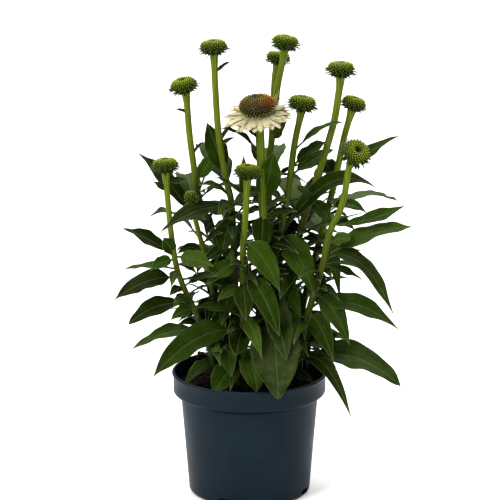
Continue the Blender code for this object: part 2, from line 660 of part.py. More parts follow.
def ray_rings(number):
    """Left edge, face, right edge and back along one ray floret, and its end."""
    angle = 2 * math.pi * (number + 0.3 * math.sin(2.4 * number)) / RAY_COUNT
    seat, frame = seat_frame("bloom")
    out = np.array([math.cos(angle), math.sin(angle), 0]) @ frame
    droop = -0.08 + 0.14 * out[1] + 0.06 * math.sin(5.3 * number)
    length = RAY_LENGTH * (0.94 + 0.08 * math.sin(3.1 * number))
    t = np.array([0, 0.25, 0.6, 0.9])[:, None]
    side = np.cross(frame[2], out)
    level = 0.8 + 1.3 * (number % 2)
    centre = seat + out * (RAY_START + length * t) + frame[2] * (level + droop * length * t**1.3)
    half = RAY_WIDTH / 2 * np.array([0.36, 0.8, 1.0, 0.62])[:, None]
    thick = frame[2] * np.array([1.0, 0.6, 0.5, 0.4])[:, None]
    rings = [centre - side * half, centre + thick, centre + side * half, centre - thick]
    end = seat + out * (RAY_START + length) + frame[2] * (level + droop * length)
    return np.stack(rings, axis=1), end[None]


def make_petals(group):
    """All the rays of the bloom, joined by the thin disc that they grow from."""
    seat, frame = seat_frame("bloom")
    rows = [(r, r, z, z, 0) for r, z in ((DISC_RADIUS, 0), (DISC_RADIUS, DISC_THICKNESS))]
    points, faces = ringed(rows, 20, 0, DISC_THICKNESS)
    disc = mesh_object("bloom_petals", group, points @ frame + seat, faces)
    rays = collection("Rays")
    for number in range(RAY_COUNT):
        mesh_object(f"ray_{number}", rays, *loft(*ray_rings(number)))
    petals = boolean(disc, rays, "UNION", "MANIFOLD")
    petals.data.materials.clear()
    petals.data.materials.append(material("Cream petals", (0.80, 0.74, 0.55), 0.6))
    return petals


def bract_star():
    """Points and faces of the ring of small green bracts below the open bloom."""
    seat, frame = seat_frame("bloom")
    rows = [(4.4, 4.4, -7.0, -7.0, 0), (BRACT_RADIUS, 6.6, -3.6, -3.2, 0), (5.0, 5.0, -0.8, -0.8, 0)]
    points, faces = ringed(rows, 18, -7.0, -0.8)
    return points @ frame + seat, faces


def make_plant(group):
    """Places stems and heads first, then bends each leaf clear, and joins leaves to stems."""
    thicket = Thicket()
    green = material("Leaf green", (0.040, 0.095, 0.022), 0.5)
    lime = material("Floret green", (0.16, 0.26, 0.03), 0.6)
    stems, sprays = {}, {}
    for name in STEMS:
        stem = stems[name] = stem_tube(name, group)
        points = np.array([v.co for v in stem.data.vertices]) / MM
        thicket.add(name, points, [tuple(f.vertices) for f in stem.data.polygons])
        sprays[name] = collection(f"Leaves of {name}")
    shapes = {f"head_{name}": head_shape(name) for name in HEADS}
    shapes["bud"] = bud_shape()
    shapes["bloom_cone"] = cone_shape()
    for name, (points, faces) in shapes.items():
        thicket.add(name, points, faces)
        head = mesh_object(name, group, points, faces)
        head.data.materials.append(lime)
    cone = bpy.data.objects["bloom_cone"]
    cone.data.materials[0] = material("Orange brown cone", (0.24, 0.085, 0.02), 0.65)
    rays = make_petals(group)
    thicket.add("bloom_petals", np.array([v.co for v in rays.data.vertices]) / MM,
                [tuple(f.vertices) for f in rays.data.polygons])
    for name in ("pot", "soil"):
        made = bpy.data.objects[name]
        thicket.add(name, np.array([v.co for v in made.data.vertices]) / MM,
                    [tuple(f.vertices) for f in made.data.polygons])
    points, faces = bract_star()
    mesh_object("bracts", sprays["bloom"], points, faces)
    thicket.add("bloom", points, faces)
    for number, (stem, height, tip, width, *shape) in enumerate(LEAVES + back_leaves()):
        foot = stem_point(stem, height)
        shape = shape if len(shape) > 2 else [*shape, BELLY]
        placed = bend_clear(thicket, stem, foot, np.array(tip, float), width, *shape)
        if placed:
            mesh_object(f"leaf_{number}", sprays[stem], *loft(*leaf_rings(foot, *placed, *shape)))
    for name, stem in stems.items():
        stem = boolean(stem, sprays[name], "UNION", "MANIFOLD")
        stem.name = f"stem_{name}"
        stem.data.materials.clear()
        stem.data.materials.append(green)


for old in list(bpy.data.objects):
    bpy.data.objects.remove(old)
parts = collection("Coneflower in pot")
make_pot(parts)
make_soil(parts)
make_plant(parts)
for made in parts.objects:
    made.data.shade_smooth()
    made.data.set_sharp_from_angle(angle=math.radians(35))
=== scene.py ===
"""The looks of a coneflower plant in its nursery pot, built round a fixed frame. The sections follow
the plant as it is put together: the pot, the peat, the leafy stems, the green heads, the bud, the
open bloom, and then the studio. Lengths are millimetres until a mesh is written in metres."""

import json
import math
from functools import partial

import bpy
import numpy as np
from mathutils.bvhtree import BVHTree
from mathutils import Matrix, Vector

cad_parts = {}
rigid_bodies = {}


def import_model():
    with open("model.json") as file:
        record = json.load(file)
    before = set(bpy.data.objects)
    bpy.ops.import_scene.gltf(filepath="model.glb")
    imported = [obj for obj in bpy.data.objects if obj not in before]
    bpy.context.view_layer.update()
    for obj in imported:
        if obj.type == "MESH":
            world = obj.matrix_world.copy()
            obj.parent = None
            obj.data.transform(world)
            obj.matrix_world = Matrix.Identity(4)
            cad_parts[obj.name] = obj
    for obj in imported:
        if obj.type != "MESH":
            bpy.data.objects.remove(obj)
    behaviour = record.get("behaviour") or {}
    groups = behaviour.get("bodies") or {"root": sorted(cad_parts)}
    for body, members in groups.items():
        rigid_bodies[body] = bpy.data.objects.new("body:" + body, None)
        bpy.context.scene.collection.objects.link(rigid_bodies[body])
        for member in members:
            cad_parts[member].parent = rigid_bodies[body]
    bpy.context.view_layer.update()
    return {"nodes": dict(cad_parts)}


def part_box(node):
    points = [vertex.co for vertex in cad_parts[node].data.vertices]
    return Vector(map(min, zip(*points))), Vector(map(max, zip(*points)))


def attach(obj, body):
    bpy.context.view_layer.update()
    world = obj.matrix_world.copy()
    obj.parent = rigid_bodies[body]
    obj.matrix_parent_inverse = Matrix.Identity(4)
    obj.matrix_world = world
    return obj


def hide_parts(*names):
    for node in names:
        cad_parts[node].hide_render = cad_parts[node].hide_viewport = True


for old in list(bpy.data.objects):
    bpy.data.objects.remove(old)
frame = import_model()


# The pot: a 17 cm nursery container, injection moulded in slate blue polypropylene with a 1.5 mm
# wall. It has a thin rolled lip, a straight collar for stacking, a stepped shoulder, a tapered body
# and four drain slots at its foot.
MM = 0.001
POT_HIGH = np.array(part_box("pot")[1]) / MM
RIM_RADIUS, POT_HEIGHT = POT_HIGH[0], POT_HIGH[2]
POT_WALL = 1.5
COLLAR_RADIUS = RIM_RADIUS - 1.5
COLLAR_FOOT = 115.0
COLLAR_ROUND = 3.0
NECK_RADIUS = 75.0
NECK_HEIGHT = 106.5
SHADOW_LINE_HEIGHT = NECK_HEIGHT + 4.2
FOOT_RADIUS = 66.6
FOOT_ROUND = 4.5
POT_SIDES = 168
SLOT_TURNS = (-204, -114, -24, 66)
SLOT_HALF = (5.0, 7.5, 3.5)
SLOT_MIDDLE = 4.4
SHARP_ANGLE = 38


def srgb(code):
    """Linear RGBA of an sRGB hex colour: c / 12.92 in the darks, else ((c + 0.055) / 1.055) ^ 2.4."""
    c = np.array([int(code[k : k + 2], 16) for k in (1, 3, 5)]) / 255
    linear = np.where(c <= 0.04045, c / 12.92, ((c + 0.055) / 1.055) ** 2.4)
    return (*linear.tolist(), 1.0)


def wire(tree, node, sockets):
    """Sets or links a node's sockets. A hex colour is made linear, and a node stands for the first
    output that it uses."""
    named = {socket.name.replace(" ", "_"): socket for socket in node.inputs if socket.enabled}
    for key, value in sockets.items():
        socket = node.inputs[key] if isinstance(key, int) else named[key]
        if isinstance(value, bpy.types.Node):
            value = next(output for output in value.outputs if output.enabled)
        if isinstance(value, bpy.types.NodeSocket):
            tree.links.new(value, socket)
        else:
            socket.default_value = srgb(value) if isinstance(value, str) else value


def add_node(tree, kind, *first, stops=(), **others):
    """Adds a shader node and gives it. Its first sockets come in order, the others by name with a
    capital letter, its settings by name without one, and stops are the places and colours of a ramp."""
    made = tree.nodes.new("ShaderNode" + kind)
    for key, value in others.items():
        if key[0].islower():
            setattr(made, key, value)
    wire(tree, made, dict(enumerate(first)) | {k: v for k, v in others.items() if k[0].isupper()})
    for number, (place, colour) in enumerate(stops):
        ends = made.color_ramp.elements
        stop = ends[number] if number < 2 else ends.new(place)
        stop.position, stop.color = place, srgb(colour)
    return made


def new_finish(name, *fields, **sockets):
    """A material with one Principled shader. Gives the material, what adds a node to it, the place
    on the object, and each of the mesh's fields that it reads."""
    made = bpy.data.materials.new(name)
    made.use_nodes = True
    add = partial(add_node, made.node_tree)
    read = [add("Attribute", attribute_name=key).outputs["Fac"] for key in fields]
    coated(made, **sockets)
    return made, add, add("TexCoord").outputs["Object"], *read


def coated(made, **sockets):
    """The material, once its shader's sockets are set or linked."""
    wire(made.node_tree, made.node_tree.nodes["Principled BSDF"], sockets)
    return made


def arc(centre, radius, start, end, count):
    """Rows of (r, z) at a radius from the centre, from one angle to the other, in degrees."""
    a = np.radians(np.linspace(start, end, count))
    return np.column_stack([centre[0] + radius * np.cos(a), centre[1] + radius * np.sin(a)])


def skins(rings, starts, ends):
    """Closed skins over n stacks of rings, an array of n x rows x around x 3, each stack drawn
    together to a start and an end point. A face is four corners, or three and a -1."""
    n, rows, around, _ = rings.shape
    points = np.concatenate([starts[:, None], rings.reshape(n, -1, 3), ends[:, None]], axis=1)
    k = np.arange(around)
    m = (k + 1) % around
    row = 1 + around * np.arange(rows - 1)[:, None]
    sides = np.stack([row + k, row + m, row + around + m, row + around + k], axis=-1).reshape(-1, 4)
    none, last = 0 * k - 1, 1 + around * (rows - 1)
    first_cap = np.column_stack([0 * k, 1 + m, 1 + k, none])
    last_cap = np.column_stack([last + k, last + m, last + around + 0 * k, none])
    faces = np.concatenate([first_cap, sides, last_cap])
    faces = np.where(faces < 0, -1, faces + points.shape[1] * np.arange(n)[:, None, None])
    return outward({"points": points.reshape(-1, 3), "faces": faces.reshape(-1, 4)})


def outward(shell):
    """Turns all faces of a closed shell round if its volume, the sum of a . (b x c) / 6, is below 0."""
    p, f = shell["points"], shell["faces"]
    fourth = np.where(f[:, 3] < 0, f[:, 2], f[:, 3])
    a, b, c, d = p[f[:, 0]], p[f[:, 1]], p[f[:, 2]], p[fourth]
    volume = (a * np.cross(b, c)).sum() + (a * np.cross(c, d)).sum()
    if volume < 0:
        shell["faces"] = np.where(f[:, 3:] < 0, f[:, [2, 1, 0, 3]], f[:, ::-1])
    return shell


def once_round(count):
    """Even angles once round."""
    return 2 * np.pi * np.arange(count) / count


def turned(profile, sides):
    """A profile of (r, z) rows, on the axis at both ends, turned about Z: (r cos a, r sin a, z)."""
    a = once_round(sides)
    r, z = profile[1:-1, :1], profile[1:-1, 1:]
    rings = np.stack([r * np.cos(a), r * np.sin(a), z + 0 * a], axis=-1)
    ends = np.column_stack([np.zeros((2, 2)), profile[[0, -1], 1]])
    return skins(rings[None], ends[:1], ends[1:])


def mesh_piece(name, shell, *finishes):
    """A mesh object at the origin from a shell in millimetres. Its slot goes to the faces' materials,
    and whatever else it holds, one number for each point, to attributes."""
    mesh = bpy.data.meshes.new(name)
    used = shell["faces"] >= 0
    corners = shell["faces"][used]
    starts = np.append(0, np.cumsum(used.sum(axis=1))[:-1])
    mesh.vertices.add(len(shell["points"]))
    mesh.vertices.foreach_set("co", (shell["points"] * MM).astype(np.float32).ravel())
    mesh.loops.add(len(corners))
    mesh.loops.foreach_set("vertex_index", corners.astype(np.int32))
    mesh.polygons.add(len(starts))
    mesh.polygons.foreach_set("loop_start", starts.astype(np.int32))
    for finish in finishes:
        mesh.materials.append(finish)
    if "slot" in shell:
        mesh.polygons.foreach_set("material_index", shell["slot"].astype(np.int32))
    mesh.update(calc_edges=True)
    for key in set(shell) - {"points", "faces", "slot"}:
        field = mesh.attributes.new(key, "FLOAT", "POINT")
        field.data.foreach_set("value", shell[key].astype(np.float32))
    mesh.shade_smooth()
    made = bpy.data.objects.new(name, mesh)
    bpy.context.scene.collection.objects.link(made)
    return made


def pot_profile():
    """The pot's section: along the underside, up the outside, over the lip and down the inside."""
    inner = COLLAR_RADIUS - POT_WALL
    lip = (RIM_RADIUS - 1.2, POT_HEIGHT - 1.9)
    return np.vstack([
        [(0, 0.6), (FOOT_RADIUS - 13, 0.6), (FOOT_RADIUS - 12, 0)],
        arc((FOOT_RADIUS - FOOT_ROUND, FOOT_ROUND), FOOT_ROUND, -90, 0, 9),
        np.linspace((FOOT_RADIUS + 0.6, 12), (NECK_RADIUS, NECK_HEIGHT), 9),
        [(NECK_RADIUS + 0.2, NECK_HEIGHT + 2.0), (NECK_RADIUS + 1.0, NECK_HEIGHT + 3.1)],
        [(NECK_RADIUS + 5.2, NECK_HEIGHT + 4.9)],
        arc((COLLAR_RADIUS - COLLAR_ROUND, COLLAR_FOOT), COLLAR_ROUND, -74, 0, 8),
        [(COLLAR_RADIUS, COLLAR_FOOT + 6), (COLLAR_RADIUS, POT_HEIGHT - 4.6)],
        arc(lip, 1.2, -75, 75, 7),
        arc((inner + 0.7, POT_HEIGHT - 0.7), 0.7, 90, 180, 5),
        [(inner, POT_HEIGHT - 6), (inner, COLLAR_FOOT), (NECK_RADIUS + 3, NECK_HEIGHT + 5.6)],
        [(NECK_RADIUS - POT_WALL, NECK_HEIGHT), (FOOT_RADIUS - POT_WALL, FOOT_ROUND + 2)],
        [(FOOT_RADIUS - 5, POT_WALL), (0, POT_WALL)],
    ])


def slot_cutter(turn):
    """A rounded bar on the foot's edge: |y|^4 + |z|^4 = 1 across, and straight through the wall."""
    a = once_round(28)
    across = np.sign(np.cos(a)) * np.abs(np.cos(a)) ** 0.5 * SLOT_HALF[1]
    up = np.sign(np.sin(a)) * np.abs(np.sin(a)) ** 0.5 * SLOT_HALF[2] + SLOT_MIDDLE
    out = FOOT_RADIUS - 1.5 + np.array([-1, 1])[:, None] * SLOT_HALF[0]
    t = math.radians(turn)
    x, y = out * math.cos(t) - across * math.sin(t), out * math.sin(t) + across * math.cos(t)
    rings = np.stack([x, y, up + 0 * x], axis=-1)
    caps = rings.mean(axis=1)
    return mesh_piece(f"slot_cutter_{turn}", skins(rings[None], caps[:1], caps[1:]))


def cut(piece, cutters):
    """Takes the cutters out of the piece with a Boolean, which is applied, and removes them."""
    for cutter in cutters:
        saw = piece.modifiers.new("Slot", "BOOLEAN")
        saw.operation = "DIFFERENCE"
        saw.object = cutter
    bpy.context.view_layer.update()
    piece.data = bpy.data.meshes.new_from_object(
        piece.evaluated_get(bpy.context.evaluated_depsgraph_get())
    )
    piece.modifiers.clear()
    for cutter in cutters:
        bpy.data.objects.remove(cutter)


def moulded_plastic():
    """Polypropylene, injection moulded: even and satin, with a faint stipple from the mould, vague
    clouds where it was wiped, thin upright scuffs from stacking, peat dust under the lip, and a painted
    shadow, a near-black band on the slope just under the collar's overhang where the shoulder meets it."""
    made, add, place = new_finish("slate_blue_polypropylene", IOR=1.49, Specular_IOR_Level=0.06)
    clouds = add("TexNoise", Vector=place, Scale=22.0, Detail=3.0)
    along = add("Mapping", Vector=place, Scale=(260.0, 260.0, 14.0))
    scuffs = add("TexNoise", Vector=along, Scale=1.0, Detail=2.0)
    scuffs = add("MapRange", Value=scuffs, From_Min=0.68, From_Max=0.82, To_Max=0.16)
    height = add("SeparateXYZ", Vector=place).outputs["Z"]
    dust = add("MapRange", Value=height, From_Min=0.116, From_Max=0.137, To_Max=0.12)
    specks = add("TexNoise", Vector=place, Scale=420.0, Detail=4.0)
    specks = add("MapRange", Value=specks, From_Min=0.52, From_Max=0.66)
    dust = add("Math", dust, specks, operation="MULTIPLY")
    colour = add("ValToRGB", Fac=clouds, stops=[(0.3, "#0e1a22"), (0.7, "#13222c")])
    # Painted shadow: a near-black band on the slope under the collar, standing in for the shade of its
    # overhang.
    crease_shadow = add("Math", height, SHADOW_LINE_HEIGHT * MM, operation="SUBTRACT")
    crease_shadow = add("Math", crease_shadow, operation="ABSOLUTE")
    crease_shadow = add("MapRange", Value=crease_shadow, From_Min=0.0032, From_Max=0.0018, To_Max=0.85)
    # Dust and scuffs are the pot's own marks; the last tint is the painted shadow under the collar.
    for share, tint in (dust, "#4a443c"), (scuffs, "#2b3740"), (crease_shadow, "#030506"):
        colour = add("Mix", Factor=share, A=colour, B=tint, data_type="RGBA")
    gloss = add("MapRange", Value=clouds, From_Min=0.3, From_Max=0.7, To_Min=0.36, To_Max=0.5)
    stipple = add("TexNoise", Vector=place, Scale=900.0, Detail=2.0)
    bump = add("Bump", Height=stipple, Strength=0.25, Distance=0.0003)
    return coated(made, Base_Color=colour, Roughness=gloss, Normal=bump)


pot = mesh_piece("nursery_pot", turned(pot_profile(), POT_SIDES), moulded_plastic())
cut(pot, [slot_cutter(turn) for turn in SLOT_TURNS])
pot.data.set_sharp_from_angle(angle=math.radians(SHARP_ANGLE))
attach(pot, "root")
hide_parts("pot")


# The peat: dark and crumbly, filled to a finger's width below the rim, slumped a little at the wall,
# with flakes of composted bark lying on it and a few grains of perlite.
PEAT_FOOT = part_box("soil")[0][2] / MM
PEAT_TOP = 120.0
PEAT_RADIUS = COLLAR_RADIUS - POT_WALL - 0.8
PEAT_LUMP = 1.6
PEAT_SIDES = 220
FLAKE_COUNT = 640
FLAKE_SIZES = (1.1, 4.6)
SEED = 11


def ripples(x, y, waves, seed):
    """Rough ground: a sum of crossing sines, each with a random heading and phase from the seed and
    an amplitude that falls with its pitch. Waves are pairs of pitch in mm and height in mm."""
    draw = np.random.default_rng(seed)
    total = 0 * x
    for pitch, height in waves:
        for heading, phase in draw.uniform(0, 2 * np.pi, (5, 2)):
            along = x * np.cos(heading) + y * np.sin(heading)
            total = total + height / 3 * np.sin(2 * np.pi * along / pitch + phase)
    return total


def peat_height(x, y):
    """Height of the peat: the lumps of the frame's solid, with crumbs on them down to 2 mm wide."""
    lump = np.sin(0.21 * x + 1.3) * np.cos(0.17 * y) + 0.6 * np.sin(0.33 * y - 0.28 * x)
    slump = 2.2 * np.clip((np.hypot(x, y) - PEAT_RADIUS + 9) / 9, 0, 1) ** 2
    crumbs = ripples(x, y, [(9, 0.8), (5, 0.6), (3.1, 0.45), (2.1, 0.3)], SEED)
    return PEAT_TOP + PEAT_LUMP * lump * 0.8 + crumbs - slump


def peat_shell():
    """The peat as a turned body whose top is lifted to the peat's height."""
    bottom = [(0, PEAT_FOOT), (FOOT_RADIUS - 6, PEAT_FOOT)]
    bottom += [(FOOT_RADIUS - POT_WALL - 0.6, PEAT_FOOT + 4.5)]
    wall = [(NECK_RADIUS - POT_WALL - 0.6, NECK_HEIGHT), (PEAT_RADIUS, COLLAR_FOOT)]
    top = np.column_stack([np.linspace(PEAT_RADIUS, 0, 74), np.full(74, PEAT_TOP)])
    shell = turned(np.vstack([bottom, wall, top]), PEAT_SIDES)
    x, y, z = shell["points"].T
    shell["points"][:, 2] = np.where(z > PEAT_TOP - 1, peat_height(x, y), z)
    return shell


def crumbly_peat():
    """Moist peat: near black, matt, with brown fibres and crumbs of 1 to 4 mm."""
    made, add, place = new_finish("moist_peat", Roughness=0.95, Specular_IOR_Level=0.05)
    crumbs = add("TexNoise", Vector=place, Scale=320.0, Detail=5.0, Roughness=0.7)
    stops = [(0.3, "#080604"), (0.5, "#0e0a06"), (0.62, "#18110b"), (0.75, "#33241a")]
    colour = add("ValToRGB", Fac=crumbs, stops=stops)
    bump = add("Bump", Height=crumbs, Strength=0.9, Distance=0.0012)
    return coated(made, Base_Color=colour, Normal=bump)


def spread_out(values, shell):
    """One number for each stack of a shell, repeated for each of its points."""
    return np.repeat(values, len(shell["points"]) // len(values))


def flakes():
    """Bark flakes: ellipsoids of six sides and three rings, squeezed flat, turned and dented at
    random, each lying on the peat. Their grade runs from dark bark through red bark to perlite."""
    draw = np.random.default_rng(SEED)
    n = FLAKE_COUNT
    reach = (PEAT_RADIUS - 3) * np.sqrt(draw.uniform(0, 1, n))
    heading = draw.uniform(0, 2 * np.pi, n)
    x, y = reach * np.cos(heading), reach * np.sin(heading)
    size = np.interp(draw.uniform(0, 1, n) ** 3, (0, 1), FLAKE_SIZES)
    slim, thin = draw.uniform(0.4, 0.9, n), draw.uniform(0.22, 0.5, n)
    a = once_round(6)
    level = np.array([-0.6, 0.0, 0.6])[:, None]
    ring = np.stack([np.cos(a) + 0 * level, np.sin(a) + 0 * level, level + 0 * a], axis=-1)
    ring[..., :2] *= np.array([0.75, 1.0, 0.7])[:, None, None]
    rings = ring[None] * (1 + draw.uniform(-0.24, 0.24, (n, 3, 6, 3)))
    scale = np.stack([size, size * slim, size * thin], axis=-1)
    tilt = draw.uniform(-0.5, 0.5, n)
    c, s = np.cos(heading * 5), np.sin(heading * 5)
    turn = np.array([[c, s, tilt], [-s, c, 0 * c], [-tilt * c, -tilt * s, 1 + 0 * c]]).transpose(2, 0, 1)
    seat = np.column_stack([x, y, peat_height(x, y) + 0.25 * size * thin])
    rings = np.einsum("nrkj,njm->nrkm", rings * scale[:, None, None], turn) + seat[:, None, None]
    tips = np.array([[0, 0, -0.8], [0, 0, 0.8]])[:, None] * scale
    tips = np.einsum("enj,njm->enm", tips, turn) + seat
    shell = skins(rings, tips[0], tips[1])
    shell["grade"] = spread_out(draw.uniform(0, 1, n) * np.where(size > 3.4, 0.9, 1), shell)
    return shell


def bark():
    """Composted pine bark: dark brown to red-brown, dull, with a few pale grains of perlite."""
    made, add, place, grade = new_finish("composted_bark", "grade", Roughness=0.85, Specular_IOR_Level=0.08)
    stops = [(0.0, "#0e0906"), (0.6, "#1e120b"), (0.85, "#3a1d13"), (0.94, "#4f2b1e"), (0.98, "#7a7264")]
    colour = add("ValToRGB", Fac=grade, stops=stops)
    grain = add("TexNoise", Vector=place, Scale=900.0, Detail=2.0)
    shade = add("MapRange", Value=grain, From_Min=0.3, From_Max=0.7, To_Min=0.55, To_Max=1.25)
    colour = add("HueSaturation", Value=shade, Color=colour)
    return coated(made, Base_Color=colour)


peat = mesh_piece("peat", peat_shell(), crumbly_peat())
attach(peat, "root")
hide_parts("soil")
flake_layer = mesh_piece("bark_flakes", flakes(), bark())
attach(flake_layer, "root")


# The leafy stems: stiff, yellow-green, ribbed and bristly, each with lance-shaped leaves on short
# petioles and a bare top that widens under its head. A leaf is dark and waxy, with patches of painted
# sheen, a pale midrib, darker side nerves and a fine pale margin, and its blade is folded, waved and
# a little twisted.
STEMS = {
    "left_low": [(-24, -18, 84), (-31, -20, 121), (-50, -21, 187), (-75, -22, 246),
                 (-83, -23, 287), (-88, -25, 340), (-89.5, -25, 366)],
    "left_tall": [(-16, 12, 84), (-18, 14, 121), (-33, 15, 256), (-43, 15, 295), (-55, 15, 327),
                  (-61, 15, 367), (-65, 15, 400), (-67.5, 14, 434), (-69.5, 13, 445)],
    "left_bud": [(-23, 3, 84), (-26, 2, 121), (-33, 1, 180), (-41, 0, 230), (-48.5, -1, 266),
                 (-57, -2, 300), (-61.5, -2, 318), (-62.5, -2, 325)],
    "mid_tall": [(-10, 3, 84), (-12, 2, 121), (-16, 2, 240), (-19, 1, 318), (-25, 1, 350),
                 (-33, 0, 399), (-36.5, 0, 450), (-37.5, 0, 478), (-38, 0, 489)],
    "front": [(-4, -16, 84), (-5, -18, 121), (-7, -20, 200), (-7, -20, 275), (-4.5, -21, 310),
              (-3, -22, 340), (-2, -22, 358)],
    "bloom": [(6, -6, 84), (8, -8, 121), (13, -9, 190), (16, -9, 250), (16, -8, 295),
              (14, -5, 328), (13, -2.5, 355), (11, -5, 404), (9.5, -7, 421)],
    "tallest": [(5, 12, 84), (6, 14, 121), (13, 18, 240), (20, 25, 358), (23.5, 27, 382),
                (26, 28, 405), (30, 28, 444), (33.5, 28, 463), (36.5, 27, 479), (38, 27, 489)],
    "back": [(13, 26, 84), (14, 28, 121), (19, 38, 260), (23, 46, 360), (27, 50, 445),
             (29, 52, 458), (30.5, 53, 468)],
    "mid_right": [(16, 0, 84), (17, 1, 121), (24, 4, 210), (31, 8, 278), (36, 10, 298),
                  (40, 12, 323), (44, 14, 348), (47.5, 16, 378), (51, 17, 398), (54.5, 18, 414),
                  (56, 18, 424)],
    "right_tall": [(27, 8, 84), (29, 9, 121), (45, 10, 240), (58, 10, 300), (70.5, 10, 341),
                   (81.5, 10, 377), (91, 10, 412), (95, 10, 438), (97, 10, 453), (97.5, 10, 463)],
    "right_back": [(38, 13, 84), (40, 14, 121), (62, 16, 220), (82, 18, 300), (92, 19, 341),
                   (99, 20, 376), (103, 21, 395), (108, 21.5, 413), (111, 21.5, 424)],
    "right_front": [(41, -15, 84), (43, -16, 121), (62, -19, 200), (79, -22, 262),
                    (83, -24, 285), (88, -25, 303), (95, -26, 317), (101, -26, 336),
                    (104, -26, 355), (106.5, -26.5, 371), (108.5, -28.5, 379), (111, -33, 384)],
}
FOOT_THICKNESS = 8.2
NECK_THICKNESS = 7.0
STOUT = {"bloom": 1.38, "right_tall": 1.1, "left_low": 0.9, "left_bud": 0.8}
FLARE_THICKNESS = 10.0
FLARE_LENGTH = 16.0
SEAT_LENGTH = 6.0
STALK_ROW = 3.0
STALK_SIDES = 36
STALK_RIBS = 9
RIB_RISE = 0.022
BRISTLES_PER_MM = 1.3
BRISTLE_RADIUS = 0.075
BARE_FOOT = 40

